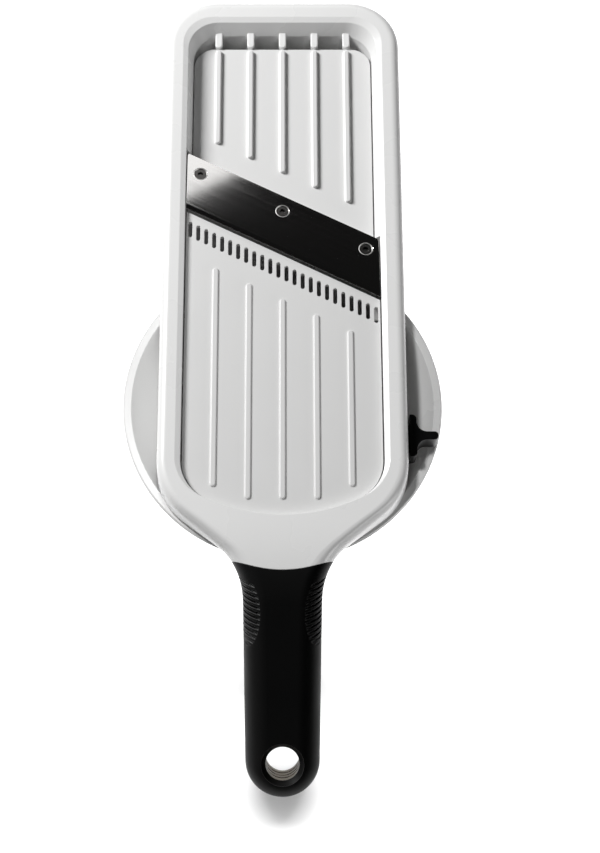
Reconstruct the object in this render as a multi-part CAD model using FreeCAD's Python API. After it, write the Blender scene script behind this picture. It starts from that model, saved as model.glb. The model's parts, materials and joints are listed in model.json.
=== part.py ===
import FreeCAD, Part
import math
import os
from FreeCAD import Vector

# Hand-held mandoline slicer, standing on its stored food holder.
# Millimetres. X is across the slicer, +Y runs from the handle to the far end, +Z is up.
# The origin is the middle of the face that the food holder's knob stands on.

# Heights: depths are measured down from the top face of the rails
FACE_Z = 61.0            # top face of the rails above the table
FRAME_T = 20.5           # thickness of the frame

# Frame outline
RAIL_W = 12.1            # rails at the underside, from the opening to the outer wall
DRAFT = 1.0              # lean of the outer walls over the frame's thickness
FAR_REACH = 141.4        # far end of the frame, from the cutting edge at the middle
FAR_CORNER_R = 26.5      # outer corners at the far end
RAIL_ROUND = 4.5         # round on the outer top edge
UNDER_ROUND = 0.8        # round on the outer bottom edge
BEVEL_W = 2.6            # width and depth of the lead-in below the crease
BEVEL_DEPTH = 1.0
FAR_RIM_W = 10.6         # far rim, from the outer wall to the crease
FAR_BEVEL_W = 2.8        # from the crease to the leaning inner wall
FAR_RAMP_W = 4.4         # lean of the far wall down to the deck
FAR_WALL_LEAN = 5.7      # lean of the far wall below the deck
FAR_INNER_R = 15.0
LEDGE_W = 2.4            # side walls beside the deck lean in by this much
LEDGE_GAP = 0.5          # leaning walls start this far behind the blade
WALL = 2.3               # inner walls of the hollow rails
OUTER_WALL = 2.0
ROOF = 3.4               # top wall of the hollow rails
HOLLOW_SHORT = 43.5      # hollows end this far before the far end
HOLLOW_NEAR = 0.7        # how far the hollows reach past the rails' near end

# Feeding table, lifted and lowered below the cutting edge
TABLE_HALF_W = 47.3
TABLE_GAP = 0.6          # running gap to the frame all round
TABLE_L = 132.1          # from the cutting edge to the near edge, at the middle
TABLE_END_R = 83.3       # sweep of the near edge
TABLE_CORNER_R = 20.0
TABLE_DEPTH = 3.6
TABLE_T = 2.5
TABLE_RIB_H = 0.9
RIB_W = 3.0
RIB_COUNT = 5
RIB_MARGIN = 0.8         # room beyond the outer ribs, in pitches
RIB_ROUND = 0.7          # round on the ribs' top edges
RIB_SHY = 1.0            # deck ribs end short of the deck's edge
TABLE_RIB_FAR = 24.0     # rib ends, measured along Y from the cutting edge
TABLE_RIB_IN = 7.6       # near ends of the ribs, from the table's near edge
TABLE_RIB_OUT = 13.7     # the same for the outer ribs
SLOT_COUNT = 24
SLOT_W = 2.0
SLOT_L = 8.2
SLOT_BACK = 5.5          # from the cutting edge to the slots, along Y

# Blade
BLADE_ANGLE = 26.5       # cutting edge against X
BLADE_EDGE_Y = 72.1      # cutting edge at the middle
BLADE_W = 28.4           # seen from above
BLADE_T = 1.2
BLADE_TILT = 8.0         # falls away from the cutting edge
BLADE_BEVEL = 2.0
SLICE_MIN = 1.0          # thinnest slice
SLICE_STEP = 1.0
STEPS = 3
BLADE_GAP = 0.8          # table edge to cutting edge, seen from above
BLADE_END_GAP = 0.5
BLADE_SCREW_BACK = 7.9   # screws from the back edge
BLADE_SCREW_IN = 6.5     # outer screws from the table's sides
BLADE_HEAD_R = 3.6
BLADE_HEAD_T = 1.8
BLADE_SHANK_R = 1.5
INSERT_R = 2.4
INSERT_L = 4.0
SOCKET_R = 1.2
SOCKET_T = 1.0

# Fixed deck behind the blade
DECK_DEPTH = 6.8
DECK_T = 2.5
DECK_RIB_H = 1.3
DECK_FAR_GAP = 12.3      # far edge of the deck from the top of the leaning wall
DECK_CORNER_R = 10.0
DECK_RIB_GAP = 13.5      # ribs from the blade's back edge, along Y
LAND_W = 14.0            # support under the back of the blade
LAND_RAKE = 5.0          # how far the support leans back to let slices fall
LUG_W = 9.0
LUG_REACH = 9.3
LUG_T = 3.0
LUG_NEAR = 54.9          # from the cutting edge
LUG_FAR = 19.8           # from the deck's far edge
BOSS_R = 3.0
BOSS_FIT = 0.2
DECK_SCREW_R = 1.3
DECK_HEAD_R = 4.2
DECK_HEAD_T = 1.8
STUB_W = 3.8             # rib stubs on the far wall
STUB_T = 3.0
STUB_GAP = 0.4

# Lift mechanism inside the hollow rails
PIN_R = 1.5
PIN_FIT = 0.25
PIN_DEPTH = 9.2          # pins at the thinnest setting
PIN_NEAR = 38.8          # from the near end of the straight rails
PIN_FAR = 30.1           # from the cutting edge
CAM_SLOT_GAP = 5.2       # between the two slots of a bar, along Y
EAR_W = 8.0
EAR_T = 3.0
EAR_DEPTH = 12.0
BAR_T = 3.0
BAR_GAP = 0.6
BAR_TOP = 4.8
BAR_BOTTOM = 15.6
BAR_END = 4.0            # bars run on past the slots
PIN_SHY = 0.4            # pins end short of the bars' outer faces
LINK_IN = 5.8            # link's middle from the bars' near ends
LINK_W = 8.0
LINK_T = 2.6
LINK_GAP = 0.4
LINK_SCREW_R = 1.0
LINK_SCREW_L = 4.0
COVER_T = 1.7
COVER_DEPTH = 18.5
COVER_FIT = 0.1
COVER_POST_W = 5.0
COVER_POST_NEAR = 19.9   # from the cutting edge
COVER_POST_FAR = 20.0    # from the far end of the hollow
COVER_SCREW_R = 1.1
COVER_HEAD_R = 2.0
COVER_HEAD_T = 1.0
COVER_SCREW_L = 6.0

# Thickness slider tab
TAB_IN = 10.1            # tab's middle from the bars' near ends
TAB_L = 20.7
TAB_T = 3.2
TAB_H = 12.0
TAB_DEPTH = 11.0         # middle of the tab
TAB_GAP = 0.3
TAB_ROUND = 2.0
STEM_T = 4.0
STEM_REACH = 10.2
STEM_NOSE = 1.8
STEM_FILLET = 5.0
NECK_L = 12.0
NECK_H = 6.0
NECK_GAP = 0.4
SEAT_T = 2.8             # seat on the right bar that takes the tab
TONGUE_L = 8.0
TONGUE_H = 3.0
TONGUE_T = 2.2
SPRING_L = 16.0
SPRING_T = 0.3
SPRING_W = 2.4
SPRING_RISE = 0.8
SPRING_NEAR = 15.0       # spring's middle from the near pin

# Neck and handle
NECK_R = 32.0            # hollow of the neck's sides
NECK_STRAIGHT = 21.7     # straight stretch of the neck's sides
HANDLE_HALF_W = 18.4
HANDLE_END_HALF_W = 17.4
HANDLE_T = 23.0
HANDLE_TOP_ROUND = 10.5
HANDLE_UNDER_ROUND = 11.0
BEND_GAP = 4.0           # bend starts this far from the table's near edge
BEND_R = 85.0
DROOP = 22.0
HOLE_S = 76.5            # hole from the end of the bend, along the handle
JOIN_GAP = 26.2          # black grip from the table's near edge, at the middle
JOIN_R = 56.0
TANG_HALF_W = 10.0
TANG_T = 10.0
TANG_ROUND = 3.0
TANG_S = 50.0            # tang's end, from the end of the bend
HOLE_R = 7.9
SLEEVE_R = 9.0
SLEEVE_L = 16.0
SINK_R = 10.2
RING_GROOVE = 0.35
RING_W = 1.2
RING_COUNT = 3
FIN_COUNT = 13
FIN_PITCH = 2.4
FIN_CUT_W = 1.1
FIN_DEPTH = 2.3          # deepest cut, on the shoulder of the grip
FIN_TURN = 38.0          # middle of the fins, up from the side
FIN_SLANT = 16.0         # fins rise outwards to the far end
FIN_S = 6.5              # middle of the fins, from the end of the bend
NECK_STEPS = 12          # sections that the neck is shaped through
TANG_STEPS = 4
POCKET_ROOF = 4.5
POCKET_ROUND = 3.0
POCKET_SWEEP_R = 12.0
POCKET_HALF_W = 38.0     # hollow under the apron, at its far corners
POCKET_NEAR_HALF_W = 27.0
POCKET_RISE = 5.0        # far corners ahead of the middle
POCKET_L = 9.0
RIM_SEAT = 0.5           # room round the stored holder's rim
SEAT_RISE = 0.1          # room above it, under the apron and neck

# Foot under the far end
FOOT_HALF_L = 34.0
FOOT_IN = 4.3            # from the far end's wall
FOOT_W = 9.0
FOOT_T = 3.0
FOOT_PROUD = 1.0
FOOT_ROUND = 3.0

# Food holder
HOLDER_R = 77.5
FLANGE_W = 4.0
FLANGE_T = 3.0
FLANGE_EDGE = 0.8
DISH_DEPTH = 16.0
DISH_FLOOR_R = 46.0
DISH_T = 2.4
RUNNER_GAP = 1.1         # runners from the rails
RUNNER_T = 2.0
RUNNER_RISE = 1.8
RUNNER_NEAR_Y = -32.5
RUNNER_L = 84.5
PRONG_PLATE_R = 30.0
PRONG_PLATE_T = 2.0
PRONG_R = 1.0
PRONG_L = 12.0
PRONG_TIP = 3.0
PRONG_POINT_R = 0.1
PRONG_OUT_R = 21.0
PRONG_OUT_COUNT = 8
PRONG_IN_R = 11.0
PRONG_IN_COUNT = 4
PRONG_SCREW_R = 1.2
PRONG_SCREW_RING = 26.0
PRONG_SCREW_COUNT = 3
PRONG_HEAD_R = 2.4
PRONG_HEAD_T = 1.4
HOLDER_BOSS_R = 3.2
HOLDER_BOSS_L = 4.0
KNOB_FLANGE_R = 20.0
KNOB_NECK_R = 14.0
KNOB_CORE_R = 17.0
KNOB_CAP_R = 27.0
KNOB_CAP_H = 10.0
KNOB_CAP_ROUND = 4.0
SPIGOT_R = 10.0
SPIGOT_L = 5.0
KNOB_SCREW_R = 2.0
KNOB_SCREW_L = 14.0
KNOB_HEAD_R = 4.2
KNOB_HEAD_T = 2.0

# Worked out from the sizes above
FRAME_BOTTOM = FACE_Z - FRAME_T
OPEN_HALF_W = TABLE_HALF_W + TABLE_GAP
CREASE_HALF_W = OPEN_HALF_W + BEVEL_W
LEDGE_HALF_W = OPEN_HALF_W - LEDGE_W
DECK_HALF_W = LEDGE_HALF_W - TABLE_GAP
FRAME_HALF_W = OPEN_HALF_W + RAIL_W
HOLLOW_IN = OPEN_HALF_W + WALL
HOLLOW_OUT = FRAME_HALF_W - DRAFT - OUTER_WALL
TABLE_END_Y = BLADE_EDGE_Y - TABLE_L
FAR_Y = BLADE_EDGE_Y + FAR_REACH
FAR_CREASE_Y = FAR_Y - FAR_RIM_W
FAR_WALL_TOP_Y = FAR_CREASE_Y - FAR_BEVEL_W
FAR_RAMP_Y = FAR_WALL_TOP_Y - FAR_RAMP_W
FAR_FOOT_Y = FAR_RAMP_Y - FAR_WALL_LEAN
DECK_FAR_Y = FAR_WALL_TOP_Y - DECK_FAR_GAP
HOLLOW_FAR_Y = FAR_Y - HOLLOW_SHORT
FOOT_NEAR_Y = FAR_Y - FOOT_IN - FOOT_W
RIB_PITCH = 2 * TABLE_HALF_W / (RIB_COUNT + RIB_MARGIN)
SLOT_PITCH = 2 * TABLE_HALF_W / SLOT_COUNT
CORNER_X = TABLE_HALF_W - TABLE_CORNER_R
END_CENTRE_Y = TABLE_END_Y + TABLE_END_R
CORNER_Y = END_CENTRE_Y - math.sqrt((TABLE_END_R - TABLE_CORNER_R) ** 2 - CORNER_X ** 2)
LUG_NEAR_Y = BLADE_EDGE_Y + LUG_NEAR
LUG_FAR_Y = DECK_FAR_Y - LUG_FAR
PIN_NEAR_Y = CORNER_Y + PIN_NEAR
PIN_FAR_Y = BLADE_EDGE_Y - PIN_FAR
TRAVEL = PIN_FAR_Y - PIN_NEAR_Y - CAM_SLOT_GAP
DROP = STEPS * SLICE_STEP
BAR_NEAR_Y = PIN_NEAR_Y - TRAVEL - BAR_END
BAR_FAR_Y = PIN_FAR_Y + BAR_END
LINK_Y = BAR_NEAR_Y + LINK_IN
TAB_Y = BAR_NEAR_Y + TAB_IN
SPRING_Y = PIN_NEAR_Y + SPRING_NEAR
COVER_POST_NEAR_Y = BLADE_EDGE_Y + COVER_POST_NEAR
COVER_POST_FAR_Y = HOLLOW_FAR_Y - COVER_POST_FAR
EDGE_DEPTH = TABLE_DEPTH - TABLE_RIB_H - SLICE_MIN
SLOPE = math.tan(math.radians(BLADE_ANGLE))
TILT_TAN = math.tan(math.radians(BLADE_TILT))
BAR_IN = HOLLOW_IN + BAR_GAP
BAR_OUT = BAR_IN + BAR_T
ROUND_R = FRAME_HALF_W - CORNER_X     # outer round of the apron, about the table's corner
HOLLOW_X = HANDLE_HALF_W + NECK_R     # middle of the neck's hollow
NECK_GAP_X = HOLLOW_X - CORNER_X
NECK_RUN = math.sqrt(NECK_STRAIGHT ** 2 + (ROUND_R + NECK_R) ** 2 - NECK_GAP_X ** 2)
NECK_END_Y = CORNER_Y - NECK_RUN
BEND_START_Y = TABLE_END_Y - BEND_GAP
JOIN_Y = TABLE_END_Y - JOIN_GAP
DROOP_RAD = math.radians(DROOP)
BEND_END_Y = BEND_START_Y - BEND_R * math.sin(DROOP_RAD)
BEND_END_Z = FACE_Z - FRAME_T / 2 - BEND_R * (1 - math.cos(DROOP_RAD))
RUNNER_OUT = OPEN_HALF_W - RUNNER_GAP
RUNNER_FAR_Y = RUNNER_NEAR_Y + RUNNER_L
SPREAD = 200.0           # reach of cutting tools past the part
CUT_PAST = 1.0           # how far the opening's tools run past the faces they cut


def depth(value):
    """Height of a level that lies this far below the top face."""
    return FACE_Z - value


def block(x0, x1, y0, y1, z0, z1):
    """Box between two corners."""
    return Part.makeBox(x1 - x0, y1 - y0, z1 - z0, Vector(x0, y0, z0))


def line(a, b):
    return Part.LineSegment(a, b).toShape()


def arc(a, middle, b):
    return Part.Arc(a, middle, b).toShape()


def rounded_wire(corners, radii, place):
    """Closed outline with rounded corners; place turns its two coordinates into a point."""
    starts = []
    middles = []
    ends = []
    count = len(corners)
    for i, (u, w) in enumerate(corners):
        before = corners[i - 1]
        after = corners[(i + 1) % count]
        back = Vector(before[0] - u, before[1] - w, 0).normalize()
        ahead = Vector(after[0] - u, after[1] - w, 0).normalize()
        half = back.getAngle(ahead) / 2
        reach = radii[i] / math.tan(half)
        inward = (back + ahead).normalize()
        middle = inward * (radii[i] / math.sin(half) - radii[i])
        starts.append((u + back.x * reach, w + back.y * reach))
        middles.append((u + middle.x, w + middle.y))
        ends.append((u + ahead.x * reach, w + ahead.y * reach))
    edges = []
    for i in range(count):
        if radii[i] > 0:
            edges.append(arc(place(*starts[i]), place(*middles[i]), place(*ends[i])))
        edges.append(line(place(*ends[i]), place(*starts[(i + 1) % count])))
    return Part.Wire(edges)


def flat(z):
    """Places outline points at one height."""
    return lambda u, w: Vector(u, w, z)


def plate(corners, radii, z0, z1):
    """Flat plate with rounded corners between two heights."""
    return Part.Face(rounded_wire(corners, radii, flat(z0))).extrude(Vector(0, 0, z1 - z0))


def rectangle(x0, x1, y0, y1):
    return [(x0, y0), (x1, y0), (x1, y1), (x0, y1)]


def disc(radius, x, y, z0, z1):
    return Part.makeCylinder(radius, z1 - z0, Vector(x, y, z0))


def turned(points):
    """Solid of revolution about Z from (radius, height) points."""
    wire = Part.makePolygon([Vector(r, 0, z) for r, z in points + points[:1]])
    return Part.Face(wire).revolve(Vector(0, 0, 0), Vector(0, 0, 1), 360)


def turned_wire(edges):
    """Solid of revolution about Z from a closed list of edges in the XZ plane."""
    return Part.Face(Part.Wire(edges)).revolve(Vector(0, 0, 0), Vector(0, 0, 1), 360)


def merged(shapes):
    """One solid from several that overlap or touch."""
    return shapes[0].fuse(shapes[1:]).removeSplitter()


def mirrored(point):
    return Vector(-point.x, point.y, point.z)


def outline_near(grow, end_grow, z):
    """Edges of the near end of the opening, from its right side to its left."""
    end_r = TABLE_END_R + end_grow
    turn = math.atan2(CORNER_X, END_CENTRE_Y - CORNER_Y)
    meet = Vector(end_r * math.sin(turn), END_CENTRE_Y - end_r * math.cos(turn), z)
    side = Vector(CORNER_X + TABLE_CORNER_R + grow, CORNER_Y, z)
    half = (math.pi / 2 + turn) / 2
    middle_r = TABLE_CORNER_R + (grow + end_grow) / 2
    bulge = Vector(CORNER_X + middle_r * math.sin(half), CORNER_Y - middle_r * math.cos(half), z)
    tip = Vector(0, END_CENTRE_Y - end_r, z)
    return [
        arc(side, bulge, meet),
        arc(meet, tip, mirrored(meet)),
        arc(mirrored(meet), mirrored(bulge), mirrored(side)),
    ]


def opening_wire(half_w, far_y, far_r, z):
    """Outline of the frame's opening at one height."""
    diagonal = far_r * (1 - math.sqrt(0.5))
    right_low = Vector(half_w, CORNER_Y, z)
    right_high = Vector(half_w, far_y - far_r, z)
    right_mid = Vector(half_w - diagonal, far_y - diagonal, z)
    right_top = Vector(half_w - far_r, far_y, z)
    edges = outline_near(half_w - TABLE_HALF_W, TABLE_GAP, z)
    edges += [
        line(mirrored(right_low), mirrored(right_high)),
        arc(mirrored(right_high), mirrored(right_mid), mirrored(right_top)),
        line(mirrored(right_top), right_top),
        arc(right_top, right_mid, right_high),
        line(right_high, right_low),
    ]
    return Part.Wire(edges)


def opening_tool():
    """Everything that the frame's opening removes: upright beside the table, leaning beside the deck."""
    rim = opening_wire(CREASE_HALF_W, FAR_CREASE_Y, FAR_INNER_R, FACE_Z)
    lip = opening_wire(OPEN_HALF_W, FAR_WALL_TOP_Y, FAR_INNER_R, depth(BEVEL_DEPTH))
    low = FRAME_BOTTOM - CUT_PAST
    foot = opening_wire(OPEN_HALF_W, FAR_FOOT_Y, FAR_INNER_R, low)
    ledge = opening_wire(LEDGE_HALF_W, FAR_RAMP_Y, FAR_INNER_R, depth(DECK_DEPTH))
    ledge_foot = opening_wire(LEDGE_HALF_W, FAR_FOOT_Y, FAR_INNER_R, low)
    above = Part.Face(rim).extrude(Vector(0, 0, CUT_PAST))
    bevel = Part.makeLoft([rim, lip], True, True)
    by_table = Part.makeLoft([lip, foot], True, True).cut(deck_region())
    by_deck = Part.makeLoft([lip, ledge], True, True).fuse(Part.makeLoft([ledge, ledge_foot], True, True))
    return merged([above, bevel, by_table, by_deck.common(deck_region())])


def deck_region():
    """Everything that lies behind the blade."""
    start = BLADE_W + LEDGE_GAP
    end = start + SPREAD
    return along_blade([(start, -SPREAD), (end, -SPREAD), (end, SPREAD), (start, SPREAD)], SPREAD)


def side_half_width(y):
    """Half width of the apron, neck and handle at the underside."""
    lean = math.asin((ROUND_R + NECK_R) / math.hypot(NECK_GAP_X, NECK_RUN))
    normal = math.atan2(-NECK_RUN, NECK_GAP_X) + math.pi / 2 - lean
    leave_x = CORNER_X + ROUND_R * math.cos(normal)
    leave_y = CORNER_Y + ROUND_R * math.sin(normal)
    meet_x = HOLLOW_X - NECK_R * math.cos(normal)
    meet_y = NECK_END_Y - NECK_R * math.sin(normal)
    if y >= leave_y:
        return CORNER_X + math.sqrt(ROUND_R ** 2 - (y - CORNER_Y) ** 2)
    if y >= meet_y:
        return leave_x + (meet_x - leave_x) * (leave_y - y) / (leave_y - meet_y)
    if y >= NECK_END_Y:
        return HOLLOW_X - math.sqrt(NECK_R ** 2 - (y - NECK_END_Y) ** 2)
    end_y = BEND_END_Y - HOLE_S * math.cos(DROOP_RAD)
    share = (NECK_END_Y - y) / (NECK_END_Y - end_y)
    return HANDLE_HALF_W + (HANDLE_END_HALF_W - HANDLE_HALF_W) * share


def spine_place(y):
    """Point on the handle's middle line, with the lean of the section there."""
    if y >= BEND_START_Y:
        return Vector(0, y, FACE_Z - FRAME_T / 2), 0.0
    if y >= BEND_END_Y:
        lean = math.asin((BEND_START_Y - y) / BEND_R)
        return Vector(0, y, FACE_Z - FRAME_T / 2 - BEND_R * (1 - math.cos(lean))), lean
    fall = (BEND_END_Y - y) * math.tan(DROOP_RAD)
    return Vector(0, y, BEND_END_Z - fall), DROOP_RAD


def along_handle(distance):
    """Y of a point this far along the straight handle from the end of the bend."""
    return BEND_END_Y - distance * math.cos(DROOP_RAD)


def spine_section(y, half_low, half_high, thick, round_low, round_high):
    """Rounded section square to the handle's middle line."""
    point, lean = spine_place(y)
    up = Vector(0, -math.sin(lean), math.cos(lean))
    place = lambda u, w: point + Vector(u, 0, 0) + up * w
    h = thick / 2
    corners = [(-half_low, -h), (half_low, -h), (half_high, h), (-half_high, h)]
    return rounded_wire(corners, [round_low, round_low, round_high, round_high], place)


def eased(y, start):
    """Smooth change from 0 at a starting Y to 1 where the neck becomes the handle."""
    share = min(1.0, max(0.0, (start - y) / (start - NECK_END_Y)))
    return share * share * (3 - 2 * share)


def body_section(y):
    """Outer section of the apron, neck and handle."""
    ease = eased(y, CORNER_Y)
    half = side_half_width(y)
    return spine_section(
        y,
        half,
        half - DRAFT * (1 - ease),
        FRAME_T + (HANDLE_T - FRAME_T) * eased(y, BEND_START_Y),
        UNDER_ROUND + (HANDLE_UNDER_ROUND - UNDER_ROUND) * ease,
        RAIL_ROUND + (HANDLE_TOP_ROUND - RAIL_ROUND) * ease,
    )


def hole_frame():
    """Middle of the hanging hole and the direction it runs in."""
    point, lean = spine_place(along_handle(HOLE_S))
    return point, Vector(0, -math.sin(lean), math.cos(lean))


def along_spine(section, first, middle, last, steps):
    """Solid through sections: a curved stretch from first to middle, then a straight one to last."""
    stations = [first + (middle - first) * i / steps for i in range(steps + 1)]
    curved = Part.makeLoft([section(y) for y in stations], True, False)
    straight = Part.makeLoft([section(middle), section(last)], True, True)
    return curved.fuse(straight)


def handle_body():
    """Apron, neck and handle before they are parted into frame and grip."""
    hole_y = along_handle(HOLE_S)
    body = along_spine(body_section, CORNER_Y, NECK_END_Y, hole_y, NECK_STEPS)
    point, up = hole_frame()
    half_space = block(0, SPREAD, -SPREAD * 2, SPREAD, -SPREAD, SPREAD)
    half_face = Part.Face(body_section(hole_y)).common(half_space).Faces[0]
    return body.fuse(half_face.revolve(point, up, -180))


def beyond_join():
    """Region on the handle's side of the line where white meets black."""
    half = FRAME_HALF_W / 2
    near = JOIN_Y + JOIN_R - math.sqrt(JOIN_R ** 2 - half ** 2)
    box = block(-half, half, -SPREAD * 2, near, -SPREAD, SPREAD)
    return box.cut(disc(JOIN_R, 0, JOIN_Y + JOIN_R, -SPREAD, SPREAD))


def tang_section(y):
    return spine_section(y, TANG_HALF_W, TANG_HALF_W, TANG_T, TANG_ROUND, TANG_ROUND)


def tang():
    """Bar of the frame that the grip is moulded over."""
    return along_spine(tang_section, JOIN_Y + TANG_HALF_W, NECK_END_Y, along_handle(TANG_S), TANG_STEPS)


def rail_block():
    """Rails and far end as one drafted block with rounded edges."""
    low = rectangle(-FRAME_HALF_W, FRAME_HALF_W, CORNER_Y, FAR_Y)
    top_w = FRAME_HALF_W - DRAFT
    high = rectangle(-top_w, top_w, CORNER_Y, FAR_Y - DRAFT)
    far_r = [0, 0, FAR_CORNER_R, FAR_CORNER_R]
    far_r_high = [0, 0, FAR_CORNER_R - DRAFT, FAR_CORNER_R - DRAFT]
    low_wire = rounded_wire(low, far_r, flat(FRAME_BOTTOM))
    high_wire = rounded_wire(high, far_r_high, flat(FACE_Z))
    solid = Part.makeLoft([low_wire, high_wire], True, True)
    for level, radius in ((FACE_Z, RAIL_ROUND), (FRAME_BOTTOM, UNDER_ROUND)):
        edges = [e for e in solid.Edges if edge_runs_round(e, level)]
        solid = solid.makeFillet(radius, edges)
    return solid


def edge_runs_round(edge, level):
    """True for the outer edges at one height, but not for the near end's edge."""
    points = [v.Point for v in edge.Vertexes]
    at_level = all(abs(p.z - level) < 1e-6 for p in points)
    at_end = all(abs(p.y - CORNER_Y) < 1e-6 for p in points)
    return at_level and not at_end


def round_slot(x0, x1, high, low, half):
    """Slot with round ends between two points, cut along X."""
    run = (low - high).normalize()
    across = Vector(0, -run.z, run.y)
    edges = [
        line(high + across * half, low + across * half),
        arc(low + across * half, low + run * half, low - across * half),
        line(low - across * half, high - across * half),
        arc(high - across * half, high - run * half, high + across * half),
    ]
    wire = Part.Wire(edges)
    wire.translate(Vector(x0, 0, 0))
    return Part.Face(wire).extrude(Vector(x1 - x0, 0, 0))


def strip(x, y0, y1, width, z0, z1):
    """Bar along Y with round ends between two heights."""
    half = width / 2
    near = y0 + half
    far = y1 - half
    edges = [
        line(Vector(x - half, near, z0), Vector(x - half, far, z0)),
        arc(Vector(x - half, far, z0), Vector(x, y1, z0), Vector(x + half, far, z0)),
        line(Vector(x + half, far, z0), Vector(x + half, near, z0)),
        arc(Vector(x + half, near, z0), Vector(x, y0, z0), Vector(x - half, near, z0)),
    ]
    return Part.Face(Part.Wire(edges)).extrude(Vector(0, 0, z1 - z0))


def rib(x, y0, y1, width, z0, z1):
    """Rib with round ends and a rounded top."""
    bar = strip(x, y0, y1, width, z0, z1)
    middle = (z0 + z1) / 2
    top_edges = [e for e in bar.Edges if all(v.Point.z > middle for v in e.Vertexes)]
    return bar.makeFillet(RIB_ROUND, top_edges)


def lug_places():
    return [(side, y) for side in (-1, 1) for y in (LUG_NEAR_Y, LUG_FAR_Y)]


def lug_screw_x(side):
    return side * (LEDGE_HALF_W - LUG_REACH + LUG_W / 2)


def deck_under():
    return depth(DECK_DEPTH + DECK_T)


def deck_lugs():
    """Ledges inside the frame that the deck is screwed to."""
    top = deck_under()
    lugs = []
    for side, y in lug_places():
        inner = side * (LEDGE_HALF_W - LUG_REACH)
        outer = side * (OPEN_HALF_W + WALL / 2)
        lug = block(min(inner, outer), max(inner, outer), y - LUG_W / 2, y + LUG_W / 2, top - LUG_T, top)
        lugs.append(lug.cut(disc(BOSS_R + BOSS_FIT, lug_screw_x(side), y, top - LUG_T, top)))
    return lugs


def rib_x():
    middle = (RIB_COUNT - 1) / 2
    return [(i - middle) * RIB_PITCH for i in range(RIB_COUNT)]


def far_stubs():
    """Short ribs on the far wall that carry on the deck's ribs."""
    top = depth(DECK_DEPTH - DECK_RIB_H)
    near = DECK_FAR_Y + STUB_GAP
    return [rib(x, near, FAR_CREASE_Y, STUB_W, top - STUB_T, top) for x in rib_x()]


def rail_hollow(side):
    """Hollow of one rail, open below."""
    x0, x1 = sorted((side * HOLLOW_IN, side * HOLLOW_OUT))
    return block(x0, x1, CORNER_Y - HOLLOW_NEAR, HOLLOW_FAR_Y, FRAME_BOTTOM, depth(ROOF))


def cover_posts(side):
    """Posts in a rail's hollow that take the cover's screws."""
    x0, x1 = sorted((side * HOLLOW_IN, side * HOLLOW_OUT))
    half = COVER_POST_W / 2
    posts = []
    for y in (COVER_POST_NEAR_Y, COVER_POST_FAR_Y):
        post = block(x0, x1, y - half, y + half, depth(COVER_DEPTH), depth(ROOF))
        hole = disc(COVER_SCREW_R, cover_x(side), y, depth(COVER_DEPTH), depth(COVER_DEPTH) + COVER_SCREW_L)
        posts.append(post.cut(hole))
    return posts


def cover_x(side):
    return side * (HOLLOW_IN + HOLLOW_OUT) / 2


def frame_cuts():
    """Slots in the rails' walls for the pins, the link and the slider."""
    cuts = []
    for side in (-1, 1):
        x0, x1 = sorted((side * (OPEN_HALF_W - WALL), side * (HOLLOW_IN + WALL / 2)))
        for y in (PIN_NEAR_Y, PIN_FAR_Y):
            high = Vector(0, y, depth(PIN_DEPTH))
            low = Vector(0, y, depth(PIN_DEPTH + DROP))
            cuts.append(round_slot(x0, x1, high, low, PIN_R + PIN_FIT))
        near = LINK_Y - LINK_W / 2 - LINK_GAP
        far = LINK_Y + LINK_W / 2 + TRAVEL + LINK_GAP
        cuts.append(block(x0, x1, near, far, FRAME_BOTTOM, depth(BAR_BOTTOM - LINK_GAP)))
    near = TAB_Y - NECK_L / 2 - NECK_GAP
    far = TAB_Y + NECK_L / 2 + TRAVEL + NECK_GAP
    half_h = NECK_H / 2 + NECK_GAP
    middle = depth(TAB_DEPTH)
    cuts.append(block(HOLLOW_OUT - WALL, SPREAD, near, far, middle - half_h, middle + half_h))
    return cuts


def apron_pocket():
    """Hollow under the apron."""
    top_y = TABLE_END_Y - 2 * WALL
    far_y = top_y + POCKET_RISE
    near_y = top_y - POCKET_L
    corners = [
        (-POCKET_HALF_W, far_y), (-POCKET_NEAR_HALF_W, near_y),
        (POCKET_NEAR_HALF_W, near_y), (POCKET_HALF_W, far_y), (0, top_y),
    ]
    return plate(corners, [POCKET_ROUND] * 4 + [POCKET_SWEEP_R], -SPREAD, depth(POCKET_ROOF + WALL))


def rim_seat():
    """Notch under the apron and neck that the stored holder's rim sits in."""
    seat = disc(HOLDER_R + RIM_SEAT, 0, 0, -SPREAD, FRAME_BOTTOM + SEAT_RISE)
    return seat.common(block(-SPREAD, SPREAD, -SPREAD, CORNER_Y + WALL, -SPREAD, FACE_Z))


def far_pocket():
    """Hollow under the far end, closed by the foot."""
    corners = rectangle(-FOOT_HALF_L, FOOT_HALF_L, FOOT_NEAR_Y, FOOT_NEAR_Y + FOOT_W)
    return plate(corners, [FOOT_ROUND] * 4, FRAME_BOTTOM, depth(POCKET_ROOF))


def make_frame(body):
    """White frame with its rails, apron, neck and tang."""
    solid = merged([rail_block(), body.cut(beyond_join()), tang()])
    hollows = [rail_hollow(-1), rail_hollow(1), apron_pocket(), far_pocket(), rim_seat()]
    solid = solid.cut([opening_tool()] + hollows)
    added = deck_lugs() + far_stubs() + cover_posts(-1) + cover_posts(1)
    return merged([solid] + added).cut(frame_cuts())


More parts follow.
